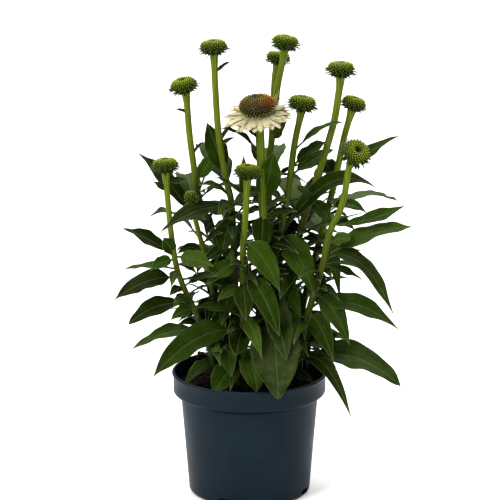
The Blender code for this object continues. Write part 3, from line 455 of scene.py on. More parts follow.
# Leaves of each stem: a number that seeds its twist and tone, height of the foot, tip x, y and z,
# width, arch and lean, and for a few the share of the blade where it is widest. Arch is the rise of
# the middle over a straight line, as a share of its length. Lean turns the face from up to the front.
LEAVES = {
    "left_low": [
        (4, 246, -147, -32, 223, 25, 0.12, 34), (8, 270, -137, -20, 301, 20, 0.06, 30),
        (11, 188, -128, -30, 168, 20, 0.10, 30), (12, 214, -131, -34, 197, 22, 0.16, 42, 0.5),
        (24, 270, -38, -42, 264, 22, 0.05, 46), (25, 268, -92, -34, 294, 16, 0.04, 60, 0.5),
        (26, 266, -107, -36, 258, 15, 0.12, 42), (27, 256, -136, -12, 247, 14, 0.06, 18),
        (29, 236, -86, -40, 231, 11, 0.10, 40), (30, 228, -82, -38, 217, 11, 0.12, 50),
        (31, 210, -85, -38, 203, 14, 0.14, 48), (63, 342, -103, -27, 354, 7, 0.06, 40),
        (64, 352, -64, -24, 355, 8, 0.06, 40),
    ],
    "left_tall": [
        (58, 342, -35, 4, 382, 16, 0.03, 62), (59, 318, -26, 2, 309, 17, 0.08, 44),
        (60, 326, -24, 26, 342, 13, 0.05, -12), (61, 374, -49, 10, 390, 6, 0.05, 30),
        (62, 420, -79, 10, 425, 6, 0.06, 30), (81, 262, -62, -14, 226, 24, 0.14, 58),
        (84, 214, -58, -8, 172, 23, 0.16, 50),
    ],
    "left_bud": [
        (7, 304, -121, 20, 375, 20, 0.08, 36), (28, 268, -79, -6, 268, 11, 0.24, 66),
        (32, 190, -82, -8, 188, 14, 0.08, 24), (33, 160, -31, -56, 144, 22, 0.18, 72, 0.45),
        (34, 150, -66, -44, 134, 18, 0.12, 20), (92, 205, -26, -40, 197, 16, 0.10, 50),
        (93, 218, -47, -30, 194, 12, 0.14, 60),
    ],
    "mid_tall": [
        (10, 320, -105, -16, 302, 24, 0.10, 24), (53, 348, -46, 9, 411, 24, 0.04, 66, 0.4),
        (54, 388, -16, -2, 397, 6, 0.04, 30), (55, 466, -20, -3, 480, 6, 0.06, 40),
        (56, 306, -30, -18, 270, 25, 0.22, 80, 0.45), (57, 320, 6, 12, 324, 12, 0.06, 14),
        (82, 240, -30, -22, 192, 24, 0.14, 66), (83, 196, -34, -30, 156, 24, 0.16, 60),
        (91, 200, -39, -20, 226, 20, 0.12, 60),
    ],
    "front": [
        (5, 186, -108, -52, 146, 33, 0.16, 40, 0.42), (15, 286, 33, -44, 236, 28, 0.16, 54),
        (16, 250, 32, -72, 195, 25, 0.16, 62, 0.45), (18, 240, -4, -54, 208, 23, 0.18, 74, 0.45),
        (19, 262, -46, -42, 244, 22, 0.14, 46, 0.45), (35, 150, -40, -60, 133, 28, 0.14, 56, 0.55),
        (36, 186, -14, -58, 170, 23, 0.18, 66, 0.58), (38, 166, 10, -73, 144, 27, 0.18, 70, 0.6),
        (39, 236, -35, -38, 224, 13, 0.10, 44), (40, 236, -2, -27, 272, 8, 0.02, 70),
        (41, 238, 8, -29, 266, 8, 0.03, 64), (42, 232, 13, -30, 250, 8, 0.06, 50),
        (50, 322, -6, 2, 378, 13, 0.03, 64), (51, 320, -44, -16, 294, 13, 0.10, 4),
        (52, 336, -38, -12, 357, 11, 0.04, 8), (88, 200, 12, -75, 166, 17, 0.14, 70),
    ],
    "bloom": [
        (17, 226, 41, -82, 178, 30, 0.20, 60, 0.52), (37, 192, 12, -64, 160, 15, 0.16, 74),
        (43, 320, 26, -4, 381, 27, 0.02, 74, 0.4), (44, 310, 12, -30, 277, 24, 0.24, 84, 0.45),
        (45, 314, 40, -12, 303, 11, 0.10, 4), (46, 366, 1, -8, 394, 9, 0.02, 62),
        (47, 380, -31, -16, 410, 14, 0.12, 16), (48, 394, -8, -14, 411, 7, 0.06, 30),
    ],
    "tallest": [
        (49, 386, 40, 14, 411, 13, 0.04, 50), (85, 300, 44, 2, 262, 22, 0.14, 66),
    ],
    "mid_right": [
        (0, 184, 31, -93, 131, 54, 0.26, 64, 0.56), (1, 279, 139, -10, 345, 23, 0.27, 34),
        (23, 284, 78, -30, 231, 30, 0.20, 62, 0.42), (65, 378, 101, -8, 415, 15, 0.10, 26),
        (66, 360, 84, -6, 393, 20, 0.06, 38), (67, 350, 94, 28, 376, 19, 0.06, 38),
        (69, 274, 127, -4, 319, 14, 0.04, 8), (86, 232, 58, -26, 206, 24, 0.16, 60),
        (89, 206, 64, -55, 166, 15, 0.14, 60),
    ],
    "right_tall": [
        (70, 324, 86, -6, 300, 17, 0.12, 54), (74, 276, 28, -18, 267, 15, 0.08, 38),
        (75, 262, 34, -24, 203, 21, 0.14, 70), (79, 228, 58, -12, 186, 22, 0.12, 62),
        (87, 186, 78, -36, 150, 24, 0.18, 56), (90, 250, 36, -30, 207, 19, 0.10, 66),
    ],
    "right_back": [
        (14, 345, 162, 20, 394, 17, 0.06, 24), (68, 346, 80, 34, 364, 19, 0.06, 60, 0.5),
        (73, 286, 99, 2, 214, 17, 0.26, 62), (77, 200, 66, -34, 158, 18, 0.14, 62),
        (78, 238, 84, -2, 200, 23, 0.12, 52),
    ],
    "right_front": [
        (2, 266, 156, -40, 208, 23, 0.30, 34), (3, 270, 176, -34, 306, 25, 0.08, 36),
        (6, 150, 164, -46, 131, 37, 0.18, 38, 0.45), (9, 306, 166, -30, 328, 18, -0.05, 28, 0.5),
        (13, 214, 162, -32, 190, 25, 0.16, 38), (20, 229, 113, -40, 180, 27, 0.16, 52),
        (21, 206, 93, -56, 166, 23, 0.16, 62), (22, 150, 111, -48, 94, 17, 0.34, 55),
        (71, 284, 108, -38, 294, 16, 0.08, 54, 0.55), (72, 260, 122, -34, 247, 14, 0.06, 12),
        (76, 190, 108, -14, 172, 17, 0.08, 18), (80, 136, 69, -30, 131, 11, 0.10, 40),
    ],
}
BACK_STEMS = ("left_tall", "back", "right_back", "left_bud", "tallest", "right_tall", "mid_tall")
BACK_COUNT = 46
BACK_FIRST = sum(len(rows) for rows in LEAVES.values())
BACK_HEIGHTS = (148.0, 344.0)
BACK_STEPS = (0.3820, 0.7549, 0.5698)
BACK_FAN = (24.0, 158.0)
BACK_LENGTH = (58.0, 112.0)
BACK_WIDTH = (16.0, 34.0)
LEAF_LENGTHWISE = 30
LEAF_ACROSS = np.array([0, 0.05, 0.14, 0.28, 0.42, 0.5, 0.58, 0.74, 0.9, 1.0])
# Small leaves in the forks of the large ones: how far apart, and the heights they fill on each stem
SMALL_STEP = 8.6
SMALL_SPAN = {
    "left_low": (150, 262), "left_tall": (150, 338), "left_bud": (150, 282), "mid_tall": (150, 334),
    "front": (150, 262), "bloom": (150, 316), "tallest": (150, 352), "back": (150, 340),
    "mid_right": (150, 318), "right_tall": (150, 330), "right_back": (150, 330),
    "right_front": (150, 268),
}
SMALL_LENGTH = (24, 62)
SMALL_WIDTH = (7, 19)
GOLDEN_TURN = math.pi * (3 - math.sqrt(5))
PETIOLE_SHARE = 0.16
PETIOLE_WIDTH = 2.6
BELLY = 0.36
BLADE_POWER = 1.9
FOLD = 0.22
WAVE = 0.07
BLADE_THICKNESS = 0.45
MOST_TWIST = 11


def picked(marks, measure, line):
    """The points of a line where a measure of it has the marked values."""
    return np.stack([np.interp(marks, measure, row) for row in line.T], axis=-1)


def smooth(points, count):
    """Points of a Catmull-Rom curve through the given ones, evenly spaced along it."""
    p = np.array(points, float)
    p = np.vstack([2 * p[0] - p[1], p, 2 * p[-1] - p[-2]])
    t = np.linspace(0, 1, 24, endpoint=False)[:, None]
    runs = []
    for a, b, c, d in zip(p, p[1:], p[2:], p[3:]):
        runs.append(b + 0.5 * t * (c - a + t * (2 * a - 5 * b + 4 * c - d + t * (3 * (b - c) + d - a))))
    fine = np.vstack(runs + [p[-2:-1]])
    along = lengthwise(fine)
    even = np.linspace(0, along[-1], count)
    return picked(even, along, fine)


def lengthwise(line):
    """How far along a line each of its points is."""
    return np.append(0, np.cumsum(np.linalg.norm(np.diff(line, axis=0), axis=1)))


def unit(v):
    """Vectors drawn out or in to a length of 1."""
    return v / np.maximum(np.linalg.norm(v, axis=-1, keepdims=True), 1e-9)


def stem_line(name, marks=None):
    """Centre points of a stem at these lengths from its foot, or at even ones, its radius at each,
    and the lengths. It thins up to its neck and flares under its head."""
    fine = smooth(STEMS[name], 200)
    along = lengthwise(fine)
    if marks is None:
        marks = np.linspace(0, along[-1], int(along[-1] / STALK_ROW))
    marks = np.asarray(marks) % (along[-1] + 1e-9)
    line = picked(marks, along, fine)
    thin = np.clip(marks / along[-1] / 0.6, 0, 1)
    flare = np.clip(1 - (along[-1] - marks) / FLARE_LENGTH, 0, 1)
    width = STOUT.get(name, 1.0) * (FOOT_THICKNESS + (NECK_THICKNESS - FOOT_THICKNESS) * thin)
    return line, 0.5 * (width + (FLARE_THICKNESS - NECK_THICKNESS) * flare), marks


def stem_point(name, height):
    """The centre of a stem at this height."""
    fine = smooth(STEMS[name], 120)
    return picked(height, fine[:, 2], fine)


def seat_frame(name):
    """Where a head sits on its stem: the seat's middle, and the two sides and the axis there."""
    length = lengthwise(smooth(STEMS[name], 200))[-1]
    below, top = stem_line(name, [length - SEAT_LENGTH, length])[0]
    axis = unit(top - below)
    across = unit(np.cross(axis, [0, -1, 0]))
    return top, np.array([across, np.cross(axis, across), axis])


def carried(values):
    """A field on rings, carried on to each stack's start and end point from the ring beside it."""
    first, last = values[:, 0].mean(axis=1), values[:, -1].mean(axis=1)
    flat = values.reshape(len(values), -1)
    return np.concatenate([first[:, None], flat, last[:, None]], axis=1).ravel()


def join(*shells):
    """One shell of several. A field or slot that one of them lacks is nought there."""
    firsts = np.cumsum([0] + [len(shell["points"]) for shell in shells])
    moved = [np.where(s["faces"] < 0, -1, s["faces"] + k) for s, k in zip(shells, firsts)]
    made = {"points": np.concatenate([shell["points"] for shell in shells])}
    made["faces"] = np.concatenate(moved)
    made["slot"] = np.concatenate([s.get("slot", 0) + np.zeros(len(s["faces"])) for s in shells])
    for key in sorted(set().union(*shells) - set(made)):
        made[key] = np.concatenate([s.get(key, 0) + np.zeros(len(s["points"])) for s in shells])
    return made


def hoops(ways, beside, sides):
    """Ways out all round each of the ways, starting with the one beside it."""
    a = once_round(sides)[:, None]
    return beside[:, None] * np.cos(a) + np.cross(ways, beside)[:, None] * np.sin(a)


def stalk(name):
    """A stem as a ribbed tube: radius * (1 + rise * cos(ribs * angle)), with ribs that wind slowly. A
    field says how near each point is to the crest of a rib."""
    line, radius, marks = stem_line(name)
    axis = unit(np.gradient(line, axis=0))
    rib = np.cos(STALK_RIBS * once_round(STALK_SIDES) + 0.012 * marks[:, None])
    out = hoops(axis, unit(np.cross(axis, [0, -1, 0])), STALK_SIDES)
    rings = line[:, None] + out * (radius[:, None] * (1 + RIB_RISE * rib))[..., None]
    shell = skins(rings[None], line[None, 0], line[None, -1])
    shell["rib"] = carried(rib[None])
    shell["up"] = carried(np.broadcast_to(marks[:, None] / marks[-1], rib.shape)[None])
    return shell


def spokes(a):
    """The ways out from Z and round it at these angles: (cos a, sin a, 0) and (-sin a, cos a, 0)."""
    c, s = np.cos(a), np.sin(a)
    return np.stack([c, s, 0 * a], axis=-1), np.stack([-s, c, 0 * a], axis=-1)


def bristles(name, draw):
    """Short stiff hairs on a stem, as three-sided needles that stand out from it and lean upwards."""
    length = lengthwise(smooth(STEMS[name], 200))[-1]
    n = int(BRISTLES_PER_MM * (length - BARE_FOOT))
    line, radius, _ = stem_line(name, draw.uniform(BARE_FOOT, length - 2, n))
    out, beside = spokes(draw.uniform(0, 2 * np.pi, n))
    way = unit(out + [0, 0, 1] * draw.uniform(0.0, 0.7, n)[:, None])
    root = line + out * (radius[:, None] * 0.98)
    rings = root[:, None] + BRISTLE_RADIUS * hoops(way, beside, 3)
    tall = draw.uniform(0.5, 1.5, n)[:, None]
    return skins(rings[:, None], root - 0.2 * way, root + tall * way)


def leaf_curve(foot, tip, arch, lean, t):
    """A leaf's rib at shares t of its length, a curve drawn to a raised middle, with the side and
    face directions there. Lean turns the face from up to the front."""
    t = np.asarray(t, float)[:, None]
    middle = (foot + tip) / 2 + np.array([0, 0, 2 * arch * np.linalg.norm(tip - foot)])
    centre = (1 - t) ** 2 * foot + 2 * t * (1 - t) * middle + t**2 * tip
    ahead = unit((1 - t) * (middle - foot) + t * (tip - middle))
    lean = math.radians(lean)
    face = np.array([0, -math.sin(lean), math.cos(lean)])
    side = unit(np.cross(ahead, face))
    return centre, side, np.cross(side, ahead)


def half_width(t, width, belly):
    """Half the blade's width: a narrow petiole, then lance-shaped, widest at the belly's share."""
    s = np.clip((t - PETIOLE_SHARE) / (1 - PETIOLE_SHARE), 0, 1)
    rise, fall = BLADE_POWER * belly, BLADE_POWER * (1 - belly)
    blade = s**rise * (1 - s) ** fall / (belly**rise * (1 - belly) ** fall)
    return np.maximum(width / 2 * blade, PETIOLE_WIDTH / 2 * (1 - t) ** 0.3)


# Turns of a leaf about its foot, as (lift, swing, share of its length)
TURNS = np.array([
    (lift, swing, size) for size in (1.0, 0.85, 0.7)
    for lift in range(-42, 43, 6) for swing in range(-42, 43, 6)
])


def turned_tips(foot, tip):
    """The tip after each of the turns: swung round its foot, lifted, and shortened by the size."""
    x, y, z = tip - foot
    heading = math.atan2(y, x) + np.radians(TURNS[:, 1])
    rise = math.atan2(z, max(math.hypot(x, y), 1e-6)) + np.radians(TURNS[:, 0])
    length = math.sqrt(x * x + y * y + z * z) * TURNS[:, 2]
    out = length * np.cos(rise)
    return foot + np.column_stack([out * np.cos(heading), out * np.sin(heading), length * np.sin(rise)])


def back_leaves(name):
    """The far side's leaves on one stem, by rule. Feet climb the back stems in turn, and heading,
    size and tilt are spread by three steps whose multiples never fall together."""
    rows = []
    for n in range(BACK_COUNT):
        if BACK_STEMS[n % len(BACK_STEMS)] != name:
            continue
        share = n / (BACK_COUNT - 1)
        turn, size, tilt = (n * step % 1 for step in BACK_STEPS)
        height = np.interp(share, (0, 1), BACK_HEIGHTS)
        heading = math.radians(np.interp(turn, (0, 1), BACK_FAN))
        length = np.interp(size, (0, 1), BACK_LENGTH)
        width = np.interp(size, (0, 1), BACK_WIDTH)
        rise = (0.75 * share - 0.7 + 0.5 * tilt) * length
        tip = stem_point(name, height) + [length * math.cos(heading), length * math.sin(heading), rise]
        rows.append((BACK_FIRST + n, height, *tip, width, 0.1 + 0.16 * tilt, -30 * math.sin(heading)))
    return rows


def grown_leaves(name):
    """The leaves of one stem as they stand in the frame, where each was turned a little to clear its
    neighbours. Its tip is a corner of the stem's solid, so the turn is the one whose tip is there."""
    solid = frame["nodes"][f"stem_{name}"].data.vertices
    corners = np.empty(3 * len(solid), np.float32)
    solid.foreach_get("co", corners)
    corners = np.unique(corners.reshape(-1, 3).round(6), axis=0) / MM
    grown = []
    for number, height, x, y, z, width, arch, lean, *belly in LEAVES.get(name, []) + back_leaves(name):
        foot = stem_point(name, height)
        tips = turned_tips(foot, np.array([x, y, z], float))
        off = np.array([np.abs(corners - place).sum(axis=1).min() for place in tips])
        best = off.argmin()
        if off[best] < 0.1:
            narrowed = width * TURNS[best, 2] ** 0.5
            grown.append((number, foot, tips[best], narrowed, arch, lean, *(belly or [BELLY])))
    return grown


def clear_of_leaves(foot, tip, width, arch, lean):
    """Whether the rib and both margins of a leaf, past its petiole, miss all the frame's leaves."""
    centre, side, _ = leaf_curve(foot, tip, arch, lean, np.linspace(0.24, 1.04, 6))
    half = width * np.array([0.3, 0.5, 0.5, 0.4, 0.2, 0])[:, None]
    for line in (centre, centre + side * half, centre - side * half):
        for here, step in zip(line * MM, np.diff(line, axis=0) * MM):
            if any(tree.ray_cast(here, step, np.linalg.norm(step))[0] for tree in LEAF_TREES):
                return False
    return True


def small_leaves(name, draw):
    """Small leaves up one stem, by turns at the golden angle and towards the front. They rise or
    hang, and are shortest at the top. One that would cut a larger leaf is turned until it is clear,
    or left out."""
    low, high = SMALL_SPAN[name]
    rows = []
    for number, height in enumerate(np.arange(low, high, SMALL_STEP)):
        share = (height - low) / (high - low)
        size = draw.uniform(0.2, 1.0) * (1 - 0.3 * share)
        first = -1.57 + draw.uniform(-1.2, 1.2) if number % 2 else GOLDEN_TURN * number
        length = np.interp(size, (0, 1), SMALL_LENGTH)
        width = np.interp(size * draw.uniform(0.7, 1.1), (0, 1), SMALL_WIDTH)
        foot = stem_point(name, height)
        for heading in first + draw.uniform(0, 0.6) + np.arange(0, 6.2, 0.62):
            rise = length * (draw.uniform(-0.5, 0.4) + 0.3 * share)
            tip = foot + [length * math.cos(heading), length * math.sin(heading), rise]
            lean = 44 * -math.sin(heading) + draw.uniform(-20, 20)
            shape = (foot, tip, width, draw.uniform(0.05, 0.22), lean)
            if clear_of_leaves(*shape):
                rows.append((1000 + number, *shape, BELLY))
                break
    return rows


def leaf(number, foot, tip, width, arch, lean, belly, thinned=1):
    """One leaf on a grid of length t and breadth s from -1 to 1, upper face and then lower. It is
    folded by |s|^1.4, waved at its edges, pillowed between rib and nerves, ribbed below, and gently
    twisted. Its fields are millimetres from the rib, from the margin and along it, and its looks."""
    draw = np.random.default_rng(SEED + number)
    c = LEAF_ACROSS[[0, 2, 4, 7, 9]] if thinned > 1 else LEAF_ACROSS
    s = np.concatenate([-c[::-1], c[1:], c[-2::-1], -c[1:-1]])[None]
    under = np.concatenate([[0.4], np.zeros(2 * len(c) - 3), [0.4], np.ones(2 * len(c) - 3)])[None]
    t = np.linspace(0, 0.992, LEAF_LENGTHWISE // thinned)
    centre, side, face = leaf_curve(foot, tip, arch, lean, t)
    twist = (math.radians(draw.uniform(-MOST_TWIST, MOST_TWIST)) * np.sin(np.pi * t))[:, None]
    side, face = side * np.cos(twist) + face * np.sin(twist), face * np.cos(twist) - side * np.sin(twist)
    phase = 0.37 * (foot[0] + foot[2]) + 0.21 * tip[0]
    t = t[:, None]
    half = half_width(t, width, belly)
    out = half * (1 + 0.03 * np.sin(29 * t + phase + 2 * (s > 0)) * (t > 0.3))
    reach = np.abs(s) * out
    along = t * lengthwise(centre)[-1]
    blade = np.minimum(1, half / 4)
    wave = WAVE * width * np.sin(4.4 * math.pi * t + phase + 2.2 * (s > 0)) * s**2 * blade
    frill = 0.018 * width * np.sin(33 * t + 2 * phase + 1.7 * (s > 0)) * np.abs(s) ** 3 * blade
    pillow = np.minimum(0.5, 0.04 * half) * np.sin(2 * np.pi * np.abs(s)) ** 2
    pillow = pillow * (0.7 + 0.45 * np.sin(2 * np.pi * (along - 0.8 * reach) / 10.5))
    rise = FOLD * half * np.abs(s) ** 1.4 + wave + frill + pillow
    plump = BLADE_THICKNESS / 2 * (1 - np.abs(s) ** 8)
    groove = 0.32 * np.exp(-((reach / 0.7) ** 2)) * (t > 0.1)
    ridge = (0.35 + 1.15 * (1 - t) ** 1.5) * np.exp(-((reach / 1.05) ** 2))
    rise = rise + np.where(under == 1, -plump - ridge, plump - groove)
    rings = centre[:, None] + side[:, None] * (s * out)[..., None] + face[:, None] * rise[..., None]
    young = np.clip((13 - width) / 7, 0, 1) * 0.8 + 0.1 * draw.uniform()
    fields = {"reach": reach, "inset": (1 - np.abs(s)) * out, "along": along, "under": under}
    # How much painted sheen this leaf gets in patches: more on the larger leaves.
    wax = np.clip(draw.uniform(0.1, 0.8) + (width - 30) / 40, 0.1, 1)
    fields |= {"tone": draw.uniform(), "young": young, "wax": wax}
    fields = {key: np.broadcast_to(value, reach.shape) for key, value in fields.items()}
    return rings, centre[0], tip, fields


def spray(name):
    """One stem with all its leaves, the stalk in the first material and the leaves in the second."""
    draw = np.random.default_rng(SEED + len(name))
    shells = [stalk(name)]
    for thinned, rows in ((1, grown_leaves(name)), (2, small_leaves(name, draw))):
        leaves = [leaf(*row, thinned) for row in rows]
        rings, starts, ends = (np.stack([made[k] for made in leaves]) for k in range(3))
        blades = skins(rings, starts, ends)
        for key in leaves[0][3]:
            blades[key] = carried(np.stack([made[3][key] for made in leaves]))
        blades["slot"] = np.ones(len(blades["faces"]))
        shells.append(blades)
    return join(*shells)


def ribbed_stalk():
    """A live coneflower stem: yellow-green and satin, with painted light and shade on its ribs, paler on
    the crests and darker in the furrows, and painted shade making it darker and browner towards the peat."""
    made, add, place, rib, up = new_finish(
        "ribbed_green_stalk", "rib", "up", Roughness=0.5, Specular_IOR_Level=0.15, Specular_Tint="#e6ee9a"
    )
    drawn = add("Mapping", Vector=place, Scale=(520.0, 520.0, 30.0))
    streaks = add("TexNoise", Vector=drawn, Scale=1.0, Detail=3.0)
    # Painted light and shade on the ribs: paler on the crests and darker in the furrows.
    ribbed = add("MapRange", Value=rib, From_Min=-1.0, From_Max=1.0, To_Max=0.24)
    mixed = add("Math", streaks, 0.8, ribbed, operation="MULTIPLY_ADD")
    stops = [(0.2, "#3c490b"), (0.5, "#566511"), (0.8, "#6f7d22")]
    colour = add("ValToRGB", Fac=mixed, stops=stops)
    # Painted shade: the stems grow darker towards the peat, where they stand among the leaves.
    foot = add("MapRange", Value=up, From_Min=0.88, From_Max=0.4, To_Max=0.88)
    colour = add("Mix", Factor=foot, A=colour, B="#1f2a08", data_type="RGBA")
    bump = add("Bump", Height=streaks, Strength=0.35, Distance=0.0004)
    return coated(made, Base_Color=colour, Normal=bump)


def leathery_leaf():
    """A coneflower leaf: dark green and leathery with painted sheen in vague grey-green patches, most on
    the larger leaves, a pale rib and margin, and a duller underside. A nerve down each half, side veins
    8 mm apart and net veins 3 mm apart are darker and quilt it."""
    made, add, place, reach, inset, along, tone, wax, young, under = new_finish(
        "leathery_green_leaf", "reach", "inset", "along", "tone", "wax", "young", "under",
        Specular_IOR_Level=0.09, Specular_Tint="#b8d060",
    )
    mottle = add("TexNoise", Vector=place, Scale=85.0, Detail=4.0, Roughness=0.6)
    toned = add("Math", tone, 0.7, operation="MULTIPLY")
    toned = add("Math", mottle, 0.45, toned, operation="MULTIPLY_ADD")
    stops = [(0.15, "#0a1000"), (0.38, "#132100"), (0.58, "#1f3404"), (0.78, "#2c420a"), (1.0, "#394c16")]
    colour = add("ValToRGB", Fac=toned, stops=stops)

    # Painted sheen: vague patches of lighter grey-green laid into the colour, scaled by each leaf's share.
    sheen_patches = add("TexNoise", Vector=place, Scale=38.0, Detail=5.0, Roughness=0.65)
    sheen_patches = add("MapRange", Value=sheen_patches, From_Min=0.36, From_Max=0.74, To_Max=0.62)
    sheen_patches = add("Math", sheen_patches, wax, operation="MULTIPLY")

    flat = add("CombineXYZ", X=reach, Y=along, Z=tone)
    net = add("TexVoronoi", Vector=flat, Scale=0.3, feature="DISTANCE_TO_EDGE")
    net = add("MapRange", Value=net, From_Min=0.16, From_Max=0.0)
    fans = add("Math", reach, -0.9, along, operation="MULTIPLY_ADD")
    fans = add("Math", fans, 0.82, operation="MULTIPLY")
    fans = add("Math", fans, operation="SINE")
    fans = add("MapRange", Value=fans, From_Min=0.8, From_Max=1.0, To_Max=0.55)
    nerve = add("Math", reach, inset, operation="SUBTRACT")
    nerve = add("Math", nerve, operation="ABSOLUTE")
    nerve = add("MapRange", Value=nerve, From_Min=1.3, From_Max=0.3)
    veins = add("Math", nerve, fans, operation="MAXIMUM")
    dark = add("Math", veins, 0.28, operation="MULTIPLY")
    dark = add("Math", net, 0.06, dark, operation="MULTIPLY_ADD")
    rib = add("MapRange", Value=reach, From_Min=0.75, From_Max=0.2, To_Max=0.25)
    margin = add("MapRange", Value=inset, From_Min=0.75, From_Max=0.2, To_Max=0.6)
    pale = add("Math", rib, margin, operation="MAXIMUM")
    below = add("Math", under, 0.5, operation="MULTIPLY")
    # The tint of the sheen patches is painted sheen; the others are the leaf's own colours.
    layers = (young, "#0e1008"), (sheen_patches, "#4e5c32"), (dark, "#0d1a02"), (pale, "#66764a"), (below, "#2f3d1a")
    for share, tint in layers:
        colour = add("Mix", Factor=share, A=colour, B=tint, data_type="RGBA")

    gloss = add("MapRange", Value=sheen_patches, From_Max=0.4, To_Min=0.42, To_Max=0.6)
    gloss = add("Math", under, 0.2, gloss, operation="MULTIPLY_ADD")
    raised = add("Math", net, 0.25, veins, operation="MULTIPLY_ADD")
    grain = add("TexNoise", Vector=place, Scale=1100.0, Detail=2.0)
    raised = add("Math", grain, -0.35, raised, operation="MULTIPLY_ADD")
    bump = add("Bump", Height=raised, Strength=0.4, Distance=0.0006, invert=True)
    return coated(made, Base_Color=colour, Roughness=gloss, Normal=bump)


def pale_bristles():
    """Stem hairs: stiff, whitish and clear enough to catch the light."""
    made, add, place = new_finish("pale_stem_bristles", Roughness=0.5)
    clouds = add("TexNoise", Vector=place, Scale=150.0)
    colour = add("ValToRGB", Fac=clouds, stops=[(0.3, "#8f9a58"), (0.7, "#bfc68c")])
    return coated(made, Base_Color=colour)


stalk_green, leaf_green = ribbed_stalk(), leathery_leaf()
solids = bpy.context.evaluated_depsgraph_get()
LEAF_TREES = [BVHTree.FromObject(frame["nodes"][f"stem_{stem}"], solids) for stem in STEMS]
for stem in STEMS:
    leafy = mesh_piece(f"spray_{stem}", spray(stem), stalk_green, leaf_green)
    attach(leafy, "root")
    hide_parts(f"stem_{stem}")
hair_draw = np.random.default_rng(SEED)
hairs = mesh_piece("stem_bristles", join(*[bristles(stem, hair_draw) for stem in STEMS]), pale_bristles())
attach(hairs, "root")


# The green heads: young flower heads whose florets haven't coloured. A dome is packed with pointed
# florets in spirals, bright where they open in a ring round the dark dimple, and spreading pointed
# bracts stand out below it. Each sits on the flared top of its stem.
HEAD_SPREAD = 16.8
HEADS = {
    "left_low": 0.95, "left_tall": 1.0, "mid_tall": 1.0, "front": 0.98, "tallest": 1.0,
    "back": 0.88, "mid_right": 1.04, "right_tall": 1.02, "right_back": 0.92, "right_front": 1.04,
}
HEAD_FLORETS = 230
HEAD_DOME = [
    (0, 0.46), (0.07, 0.47), (0.14, 0.56), (0.21, 0.69), (0.32, 0.75), (0.46, 0.73), (0.59, 0.66),
    (0.68, 0.56), (0.72, 0.48), (0.70, 0.38), (0.60, 0.27), (0.46, 0.16), (0.34, 0.03),
]
# Each whorl of bracts: how many, radius and height at the root, then at the tip, and their width
HEAD_WHORLS = [
    (11, 0.27, -0.12, 0.64, -0.18, 0.16), (13, 0.31, -0.04, 0.92, -0.10, 0.17),
    (14, 0.38, 0.06, 1.10, 0.00, 0.17), (15, 0.48, 0.16, 1.18, 0.12, 0.17),
    (17, 0.57, 0.26, 1.12, 0.27, 0.15), (18, 0.65, 0.36, 1.01, 0.43, 0.14),
]


def rounded(profile, count):
    """A profile of (r, z) rows drawn as one smooth curve with this many rows."""
    line = smooth(np.column_stack([profile, np.zeros(len(profile))]), count)[:, :2]
    line[0, 0] = 0
    return line


def spiral(profile, count, crowd=1.0):
    """Seats over a dome whose profile runs from its top's middle down. Each is the golden angle on
    from the last, at equal steps of area, or closer at the top where crowd is over 1. Gives places,
    the way out and the way round at each, and its share of the way down."""
    r, z = profile.T
    steps = np.hypot(np.diff(r), np.diff(z))
    area = np.append(0, np.cumsum((r[1:] + r[:-1]) / 2 * steps))
    share = ((np.arange(count) + 0.5) / count) ** crowd
    tangent = unit(np.gradient(profile, axis=0))
    r, z, out, up = (np.interp(share * area[-1], area, v) for v in (r, z, -tangent[:, 1], tangent[:, 0]))
    c, s = np.cos(GOLDEN_TURN * np.arange(count)), np.sin(GOLDEN_TURN * np.arange(count))
    places = np.column_stack([r * c, r * s, z])
    ways = unit(np.column_stack([out * c, out * s, up]))
    return places, ways, np.column_stack([-s, c, 0 * s]), share


def spikes(places, ways, beside, tall, wide, sides=5, waist=0.8):
    """Pointed florets: rings of a few sides at 0 and 0.5 of the length, then a point. The field tip
    runs from 0 at the root to 1 at the point."""
    ring = hoops(ways, beside, sides)
    tall, wide = tall[:, None], wide[:, None, None]
    low = places[:, None] + wide * ring
    middle = (places + 0.5 * tall * ways)[:, None] + waist * wide * ring
    shell = skins(np.stack([low, middle], axis=1), places - 0.3 * ways, places + tall * ways)
    tips = np.concatenate([[0.0], np.zeros(sides), np.full(sides, 0.5), [1.0]])
    shell["tip"] = np.tile(tips, len(places))
    return shell


def bract_blades(count, root, tip, wide, arch, turn, draw):
    """A whorl of pointed bracts: each runs from the root (r, z) to the tip, rises by the arch on the
    way, is widest at a third and cupped, and is turned a little from its even place."""
    t = np.array([0, 0.18, 0.36, 0.56, 0.76, 0.93])
    s = np.array([-1, -0.5, 0, 0.5, 1, 0.5, 0, -0.5])
    back = np.array([0, 0, 0, 0, 0, 1, 1, 1])
    a = 2 * np.pi * (np.arange(count) + turn) / count + draw.uniform(-0.12, 0.12, count)
    out, side = spokes(a)
    ends = draw.uniform(0.84, 1.06, (count, 1)), draw.uniform(-1.7, 1.5, (count, 1))
    r = root[0] + (tip[0] * ends[0] - root[0]) * t
    z = root[1] + (tip[1] + ends[1] - root[1]) * t**1.5 + arch * np.sin(np.pi * t) * (1 - 0.3 * t)
    centre = out[:, None] * r[..., None] + [0, 0, 1] * z[..., None]
    half = wide * np.array([0.72, 0.95, 1.0, 0.8, 0.45, 0.16])[:, None]
    rise = 0.35 * half * np.abs(s) ** 2 - back * (0.55 - 0.3 * t)[:, None]
    rings = centre[:, :, None] + side[:, None, None] * (half * s)[..., None] + [0, 0, 1] * rise[..., None]
    tips = out * tip[0] * ends[0] + [0, 0, 1] * (tip[1] + ends[1])
    shell = skins(rings, centre[:, 0], tips)
    shell["tip"] = carried(np.broadcast_to(t[:, None], (count, 6, 8)))
    shell["edge"] = carried(np.broadcast_to(np.abs(s), (count, 6, 8)))
    shell["slot"] = np.ones(len(shell["faces"]))
    return shell


def seated(shell, name, lift=0.0):
    """The shell, made round Z from nought, moved onto the seat of this stem."""
    seat, sides = seat_frame(name)
    return {**shell, "points": shell["points"] @ sides + seat + lift * sides[2]}


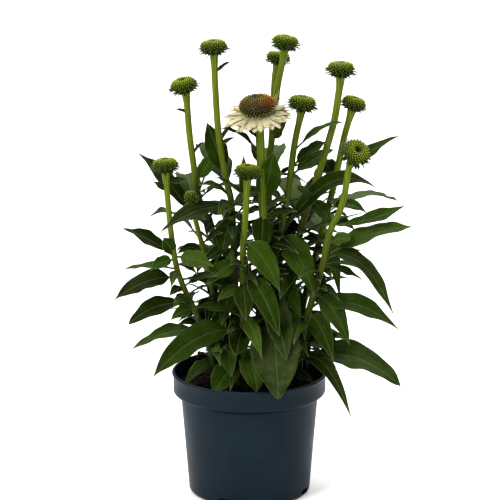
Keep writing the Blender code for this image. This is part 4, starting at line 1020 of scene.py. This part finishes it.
def green_head(name, draw):
    """A dimpled dome of packed florets, longest at its sides, over six whorls of bracts."""
    spread = HEAD_SPREAD * HEADS[name]
    dome = rounded(np.array(HEAD_DOME) * spread, 60)
    core = turned(np.vstack([dome, [(0, -0.6)]]), 40)
    core["ripe"] = np.full(len(core["points"]), 0.9)
    places, ways, beside, share = spiral(dome, HEAD_FLORETS, 1.12)
    ways = unit(ways + [0, 0, 0.35] * share[:, None] + draw.normal(0, 0.13, (HEAD_FLORETS, 3)))
    tall = np.interp(share, [0, 0.06, 0.2, 0.45, 0.7, 1], [0.5, 0.8, 2.0, 3.1, 3.7, 3.4])
    wide = np.interp(share, [0, 0.08, 0.3, 1], [0.5, 0.8, 1.05, 1.0])
    tall = tall * draw.uniform(0.75, 1.2, HEAD_FLORETS) * HEADS[name]
    florets = spikes(places, ways, beside, tall, wide, waist=0.6)
    florets["ripe"] = spread_out(share, florets)
    whorls = []
    for number, (count, *ends, wide) in enumerate(HEAD_WHORLS):
        ends = np.array(ends) * spread
        turn = 0.5 * (number % 2) + draw.uniform(0, 0.2)
        whorls.append(bract_blades(count, ends[:2], ends[2:], wide * spread / 2, 0.07 * spread, turn, draw))
    return seated(join(core, florets, *whorls), name)


def green_florets():
    """Packed green florets: a bright yellow-green ring where they open, a dark dimple inside it, and
    darker sides with pale points."""
    made, add, place, ripe, tip = new_finish(
        "packed_green_florets", "ripe", "tip",
        Roughness=0.58, Specular_IOR_Level=0.15, Specular_Tint="#e6ee9a",
    )
    stops = [(0.0, "#2c1c06"), (0.05, "#4c3e0a"), (0.1, "#bcbc34"), (0.2, "#aab432"), (0.38, "#82922e"),
             (0.6, "#5e7028"), (1.0, "#506228")]
    light = add("ValToRGB", Fac=ripe, stops=stops)
    stops = [(0.0, "#0c0802"), (0.05, "#1e1a04"), (0.1, "#868c16"), (0.24, "#6c7c18"), (0.42, "#46590c"),
             (1.0, "#1c2a05")]
    dark = add("ValToRGB", Fac=ripe, stops=stops)
    sharp = add("MapRange", Value=tip, From_Min=0.3, From_Max=0.8)
    colour = add("Mix", Factor=sharp, A=dark, B=light, data_type="RGBA")
    grain = add("TexNoise", Vector=place, Scale=1300.0, Detail=2.0)
    bump = add("Bump", Height=grain, Strength=0.3, Distance=0.0003)
    return coated(made, Base_Color=colour, Normal=bump)


def pointed_bracts():
    """Leafy bracts: dark green, dull, with a paler edge and a dark sharp point."""
    made, add, place, tip, edge = new_finish(
        "pointed_green_bracts", "tip", "edge", Roughness=0.55, Specular_IOR_Level=0.15
    )
    edge = add("MapRange", Value=edge, From_Min=0.72, To_Max=0.7)
    colour = add("ValToRGB", Fac=tip, stops=[(0.0, "#222f07"), (0.5, "#24310a"), (1.0, "#10160a")])
    colour = add("Mix", Factor=edge, A=colour, B="#76863c", data_type="RGBA")
    grain = add("TexNoise", Vector=place, Scale=700.0, Detail=3.0)
    bump = add("Bump", Height=grain, Strength=0.4, Distance=0.0004)
    return coated(made, Base_Color=colour, Normal=bump)


floret_green, bract_green = green_florets(), pointed_bracts()
head_draw = np.random.default_rng(SEED + 1)
for head in HEADS:
    button = mesh_piece(f"button_{head}", green_head(head, head_draw), floret_green, bract_green)
    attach(button, "root")
    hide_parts(f"head_{head}")


# The closed bud: a small egg of florets that haven't parted yet, packed under pointed green scales.
# It grew on the end of the thinnest of the stems.
BUD_RADIUS = 6.6
BUD_HEIGHT = 11.5
BUD_SCALES = 64


def closed_bud(draw):
    """An egg with scales on spiral seats. A scale is a spike that lies along the egg and lifts at its
    point."""
    a = np.linspace(np.pi, 0.02, 30)
    egg = np.column_stack([BUD_RADIUS * 0.86 * np.sin(a) ** 0.8, BUD_HEIGHT * (1 - np.cos(a)) / 2])
    egg[0, 0] = 0
    core = turned(np.vstack([egg, [(0, -0.4)]]), 32)
    core["slot"] = np.ones(len(core["faces"]))
    places, ways, beside, share = spiral(egg, BUD_SCALES)
    upward = np.cross(ways, beside)
    upward = upward * np.sign(upward[:, 2:])
    lying = unit(upward + np.interp(share, [0, 0.5, 1], [0.9, 0.7, 0.9])[:, None] * ways)
    tall = np.interp(share, [0, 0.3, 1], [2.2, 3.4, 4.2]) * draw.uniform(0.8, 1.2, BUD_SCALES)
    scales = spikes(places, lying, beside, tall, np.full(BUD_SCALES, 1.05), 6, 0.75)
    scales["ripe"] = spread_out(0.3 + 0.5 * share, scales)
    return seated(join(core, scales), "left_bud")


bud = mesh_piece("closed_bud", closed_bud(head_draw), floret_green, bract_green)
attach(bud, "root")
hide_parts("bud")


# The open bloom: a domed cone of stiff resinous spikes, orange at the top and brown to olive lower
# down, on a skirt of cream ray florets. The rays are thin and grooved, with notched ends, and they
# grow from a thin disc. Two whorls of narrow green bracts hold it from below.
DISC_RADIUS = 12.5
DISC_THICKNESS = 3.0
CONE_DOME = [
    (0, 14.6), (2.2, 14.8), (4.6, 16.6), (7.2, 17.7), (10.2, 17.3), (13.4, 15.7), (16.2, 13.0),
    (17.6, 10.0), (17.2, 7.4), (15.2, 4.9), (12.4, 2.6), (9.9, -0.4), (9.2, -1.8),
]
CONE_SPIKES = 540
RAY_COUNT = 62
RAY_LENGTH = 25.5
RAY_WIDTH = 7.6
RAY_START = 11.0
RAY_ROWS = 20
RAY_ACROSS = np.linspace(-1, 1, 13)
# Each rolled ray: its heading, where it starts, how far out it runs and how high its end stands
QUILLS = [
    (-0.55, 12, 23, 5), (-0.25, 14, 16, 12), (0.05, 14, 13, 19), (0.3, 14, 12, 23), (0.7, 13, 15, 14),
    (1.3, 12, 20, 3), (2.6, 13, 18, 5), (3.0, 12, 22, 1), (4.1, 12, 21, 0), (4.42, 15, 5, 5),
    (4.78, 15, 5, 4.4), (5.4, 12, 22, -1),
]
BRACT_RADIUS = 14.5


def cone(draw):
    """A dome with a dimple, drawn in to its foot and set with spikes that point out and up. The
    field ripe runs from 0 at the top to 1 below."""
    dome = rounded(CONE_DOME, 70)
    core = turned(np.vstack([dome, [(0, -1.8)]]), 56)
    core["ripe"] = np.full(len(core["points"]), 0.6)
    places, ways, beside, share = spiral(dome, CONE_SPIKES, 1.16)
    lifted = np.interp(share, [0, 0.3, 1], [0, 0.25, 0.4])[:, None] * [0, 0, 1]
    ways = unit(ways + lifted + draw.normal(0, 0.06, (CONE_SPIKES, 3)))
    tall = np.interp(share, [0, 0.04, 0.2, 0.5, 0.8, 1], [1.6, 2.2, 3.4, 4.1, 4.1, 3.2])
    tall = tall * draw.uniform(0.85, 1.15, CONE_SPIKES)
    wide = np.interp(share, [0, 0.1, 1], [0.6, 0.85, 0.9])
    needles = spikes(places, ways, beside, tall, wide, waist=0.52)
    needles["ripe"] = spread_out(share, needles)
    needles["chance"] = spread_out(draw.uniform(0, 1, CONE_SPIKES), needles)
    return seated(join(core, needles), "bloom", DISC_THICKNESS)


def rays(draw):
    """The ray florets as a grid of length t and breadth s. Each runs out and droops by t^1.3, its
    width rises to six tenths and narrows, two grooves run along it, it is cupped or arched, and its
    end is cut back where the grooves meet it."""
    n, each = np.arange(RAY_COUNT), (RAY_COUNT, 1, 1)
    angle = 2 * np.pi * (n + 0.3 * np.sin(1.2 * n)) / RAY_COUNT
    _, sides = seat_frame("bloom")
    out, side = spokes(angle)
    droop = -0.08 + 0.14 * (out @ sides)[:, 1] + 0.09 * np.sin(5.3 * n)
    length = RAY_LENGTH * (0.93 + 0.11 * np.sin(3.1 * n))
    s = np.concatenate([RAY_ACROSS, RAY_ACROSS[-2:0:-1]])
    back = np.concatenate([np.zeros(13), np.ones(11)])
    edge = np.abs(s) == 1
    t = np.linspace(0, 1, RAY_ROWS)[:, None]
    notch = 0.07 * (0.5 + 0.5 * np.cos(3 * np.pi * s)) * (np.abs(s) < 0.99) + 0.1 * np.abs(s) ** 4
    deep = draw.uniform(0.5, 1.7, each)
    reach = t * (1 - deep * notch * t**3)
    wide = np.interp(t, [0, 0.12, 0.3, 0.6, 0.85, 1], [0.36, 0.6, 0.86, 1.0, 0.92, 0.62])
    half = RAY_WIDTH / 2 * wide * draw.uniform(0.75, 1.2, each)
    far = RAY_START + length[:, None, None] * reach
    level = (2.2 + 0.7 * (n % 3))[:, None, None]
    drop = level - 1.4 * reach**0.5 + (droop * length)[:, None, None] * reach**1.3
    cup = draw.uniform(-0.3, 0.34, each) * half * s**2
    grooves = -0.3 * np.cos(3 * np.pi * s) * np.minimum(1, 4 * t)
    curl = draw.uniform(-1.4, 0.6, each) * t**3
    waves = 0.5 * np.sin(9 * t + draw.uniform(0, 6, each)) * s * t
    rise = drop + cup + grooves + curl + waves + np.where(back == 1, -0.16, 0.16) * ~edge
    rings = out[:, None, None] * far[..., None] + side[:, None, None] * (half * s)[..., None]
    rings = rings + [0, 0, 1] * rise[..., None]
    starts, ends = rings[:, 0].mean(axis=1), rings[:, -2].mean(axis=1)
    shell = skins(rings, starts, ends)
    shell["stripe"] = carried(np.broadcast_to(s, far.shape))
    shell["out"] = carried(np.broadcast_to(t, far.shape))
    shell["tone"] = spread_out(draw.uniform(0, 1, RAY_COUNT), shell)
    return shell


def quills(draw):
    """Rays that stayed rolled: thin tapering tubes between the open ones, some of them upright."""
    a, first, long, tall = np.array(QUILLS).T[:, :, None, None]
    n = len(a)
    t = np.linspace(0, 1, 9)[:, None]
    k = once_round(6)
    out, side = spokes(a)
    far = first + long * t
    thick = 0.8 * np.sin(np.pi * (0.12 + 0.8 * t)) + 0.12
    bend = draw.uniform(-2.2, 2.2, (n, 1, 1)) * t**2
    rise = 1.6 + tall * t**1.3
    rings = out * far[..., None] + side * (bend + thick * np.cos(k))[..., None]
    rings = rings + [0, 0, 1] * (rise + thick * np.sin(k))[..., None]
    shell = skins(rings, rings[:, 0].mean(axis=1), rings[:, -1].mean(axis=1))
    shell["out"] = carried(np.broadcast_to(t, (n, 9, 6)))
    return shell


def resin_spikes():
    """Stiff resinous spikes: glossy, orange at the points and dark at the root, green in the dimple
    at the top, brown round the middle and olive below, and greener on one side."""
    made, add, place, ripe, tip, chance = new_finish(
        "resinous_orange_spikes", "ripe", "tip", "chance", Roughness=0.42, Specular_IOR_Level=0.25
    )
    varied = add("Math", chance, 0.07, ripe, operation="MULTIPLY_ADD")
    stops = [(0.04, "#28340a"), (0.1, "#98981c"), (0.19, "#cc7818"), (0.4, "#b86a20"), (0.56, "#9a6c34"),
             (0.72, "#8a8a3a"), (0.95, "#94a43c")]
    light = add("ValToRGB", Fac=varied, stops=stops)
    patchy = add("TexNoise", Vector=place, Scale=62.0, Detail=1.0)
    sunny = add("SeparateXYZ", Vector=place).outputs["X"]
    greener = add("Math", sunny, -14.0, patchy, operation="MULTIPLY_ADD")
    greener = add("MapRange", Value=greener, From_Min=0.3, From_Max=0.52, To_Max=0.85)
    light = add("Mix", Factor=greener, A=light, B="#6c7420", data_type="RGBA")
    stops = [(0.05, "#0c1203"), (0.2, "#5e3e08"), (0.45, "#38240a"), (0.62, "#1b1804"), (1.0, "#0c1203")]
    dark = add("ValToRGB", Fac=varied, stops=stops)
    sharp = add("MapRange", Value=tip, From_Min=0.3, From_Max=0.8)
    colour = add("Mix", Factor=sharp, A=dark, B=light, data_type="RGBA")
    return coated(made, Base_Color=colour)


def cream_petals():
    """Ray florets: soft, matt and cream, with fine green-grey lines along them, greener where they
    leave the disc, and tanned at the ends."""
    made, add, _, stripe, out, tone = new_finish(
        "cream_ray_florets", "stripe", "out", "tone", Roughness=0.6, Specular_IOR_Level=0.2
    )
    colour = add("ValToRGB", Fac=tone, stops=[(0.0, "#a39b78"), (1.0, "#c2ba96")])
    flat = add("CombineXYZ", X=stripe, Y=tone, Z=out)
    drawn = add("Mapping", Vector=flat, Scale=(7.0, 40.0, 0.6))
    lines = add("TexNoise", Vector=drawn, Scale=1.0, Detail=3.0)
    lined = add("MapRange", Value=lines, From_Min=0.5, From_Max=0.75, To_Max=0.6)
    root = add("MapRange", Value=out, From_Min=0.4, From_Max=0.0, To_Max=0.4)
    dry = add("MapRange", Value=out, From_Min=0.86, To_Max=0.25)
    for share, tint in (lined, "#8d8b4a"), (root, "#a5a764"), (dry, "#bfa877"):
        colour = add("Mix", Factor=share, A=colour, B=tint, data_type="RGBA")
    bump = add("Bump", Height=lines, Strength=0.5, Distance=0.0005, invert=True)
    return coated(made, Base_Color=colour, Normal=bump)


bloom_draw = np.random.default_rng(SEED + 2)
orange_cone = mesh_piece("spiked_cone", cone(bloom_draw), resin_spikes())
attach(orange_cone, "root")
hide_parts("bloom_cone")

disc = turned(np.array([(0, 0), (DISC_RADIUS - 1, 0), (DISC_RADIUS, 0.7), (9.5, 1.5), (0, 1.5)]), 48)
skirt = seated(join(rays(bloom_draw), quills(bloom_draw), disc), "bloom")
petals = mesh_piece("ray_florets", skirt, cream_petals())
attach(petals, "root")
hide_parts("bloom_petals")

whorls = [
    bract_blades(15, (5.0, -4.6), (BRACT_RADIUS, -3.0), 1.5, 0.6, 0.0, bloom_draw),
    bract_blades(13, (4.4, -6.2), (BRACT_RADIUS * 0.92, -5.6), 1.4, 0.8, 0.5, bloom_draw),
]
cup = turned(np.array([(0, -7.5), (4.6, -7.4), (6.6, -4.0), (8.4, -1.6), (8.4, 0), (0, 0)]), 40)
cup["slot"] = np.ones(len(cup["faces"]))
bloom_bracts = mesh_piece("bloom_bracts", seated(join(cup, *whorls), "bloom"), floret_green, bract_green)
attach(bloom_bracts, "root")


# The studio: a plain near-white floor that fills the view, one large soft light high at the left,
# a weak one at the right, a broad one overhead, and the camera where the photograph was taken from.
def soft_light(name, place, aim, size, power):
    """A square area light at a place in metres, turned to face its aim."""
    light = bpy.data.lights.new(name, "AREA")
    light.size, light.energy = size, power
    made = bpy.data.objects.new(name, light)
    made.location = place
    way = np.subtract(aim, place)
    heading, fall = math.atan2(way[1], way[0]), math.atan2(-way[2], math.hypot(way[0], way[1]))
    made.rotation_euler = (math.pi / 2 - fall, 0, heading - math.pi / 2)
    bpy.context.scene.collection.objects.link(made)


floor_edge = np.array([[-5, -5, 0], [5, -5, 0], [5, 7, 0], [-5, 7, 0]]) / MM
paper = new_finish("white_paper", Base_Color="#f7f7f6", Roughness=0.9, Specular_IOR_Level=0.1)[0]
floor = mesh_piece("floor", {"points": floor_edge, "faces": np.array([[0, 1, 2, 3]])}, paper)

soft_light("key_light", (-1.7, -1.9, 2.1), (0, 0, 0.3), 1.0, 62)
soft_light("fill_light", (2.4, -1.8, 1.3), (0, 0, 0.3), 1.4, 3)
soft_light("top_light", (0, 1.6, 3.6), (0, 1.6, 0), 5.0, 330)
world = bpy.data.worlds.new("studio_air")
world.use_nodes = True
world.node_tree.nodes["Background"].inputs["Color"].default_value = (1, 1, 1, 1)
world.node_tree.nodes["Background"].inputs["Strength"].default_value = 0.5
bpy.context.scene.world = world
bpy.context.scene.view_settings.view_transform = "Standard"

lens = bpy.data.cameras.new("camera")
lens.lens, lens.sensor_width, lens.shift_x = 205.92, 36, 0.001
camera = bpy.data.objects.new("camera", lens)
camera.location = (0, -3.0, 1.053)
camera.rotation_euler = (math.radians(90 - 14.6), 0, 0)
bpy.context.scene.collection.objects.link(camera)
bpy.context.scene.camera = camera
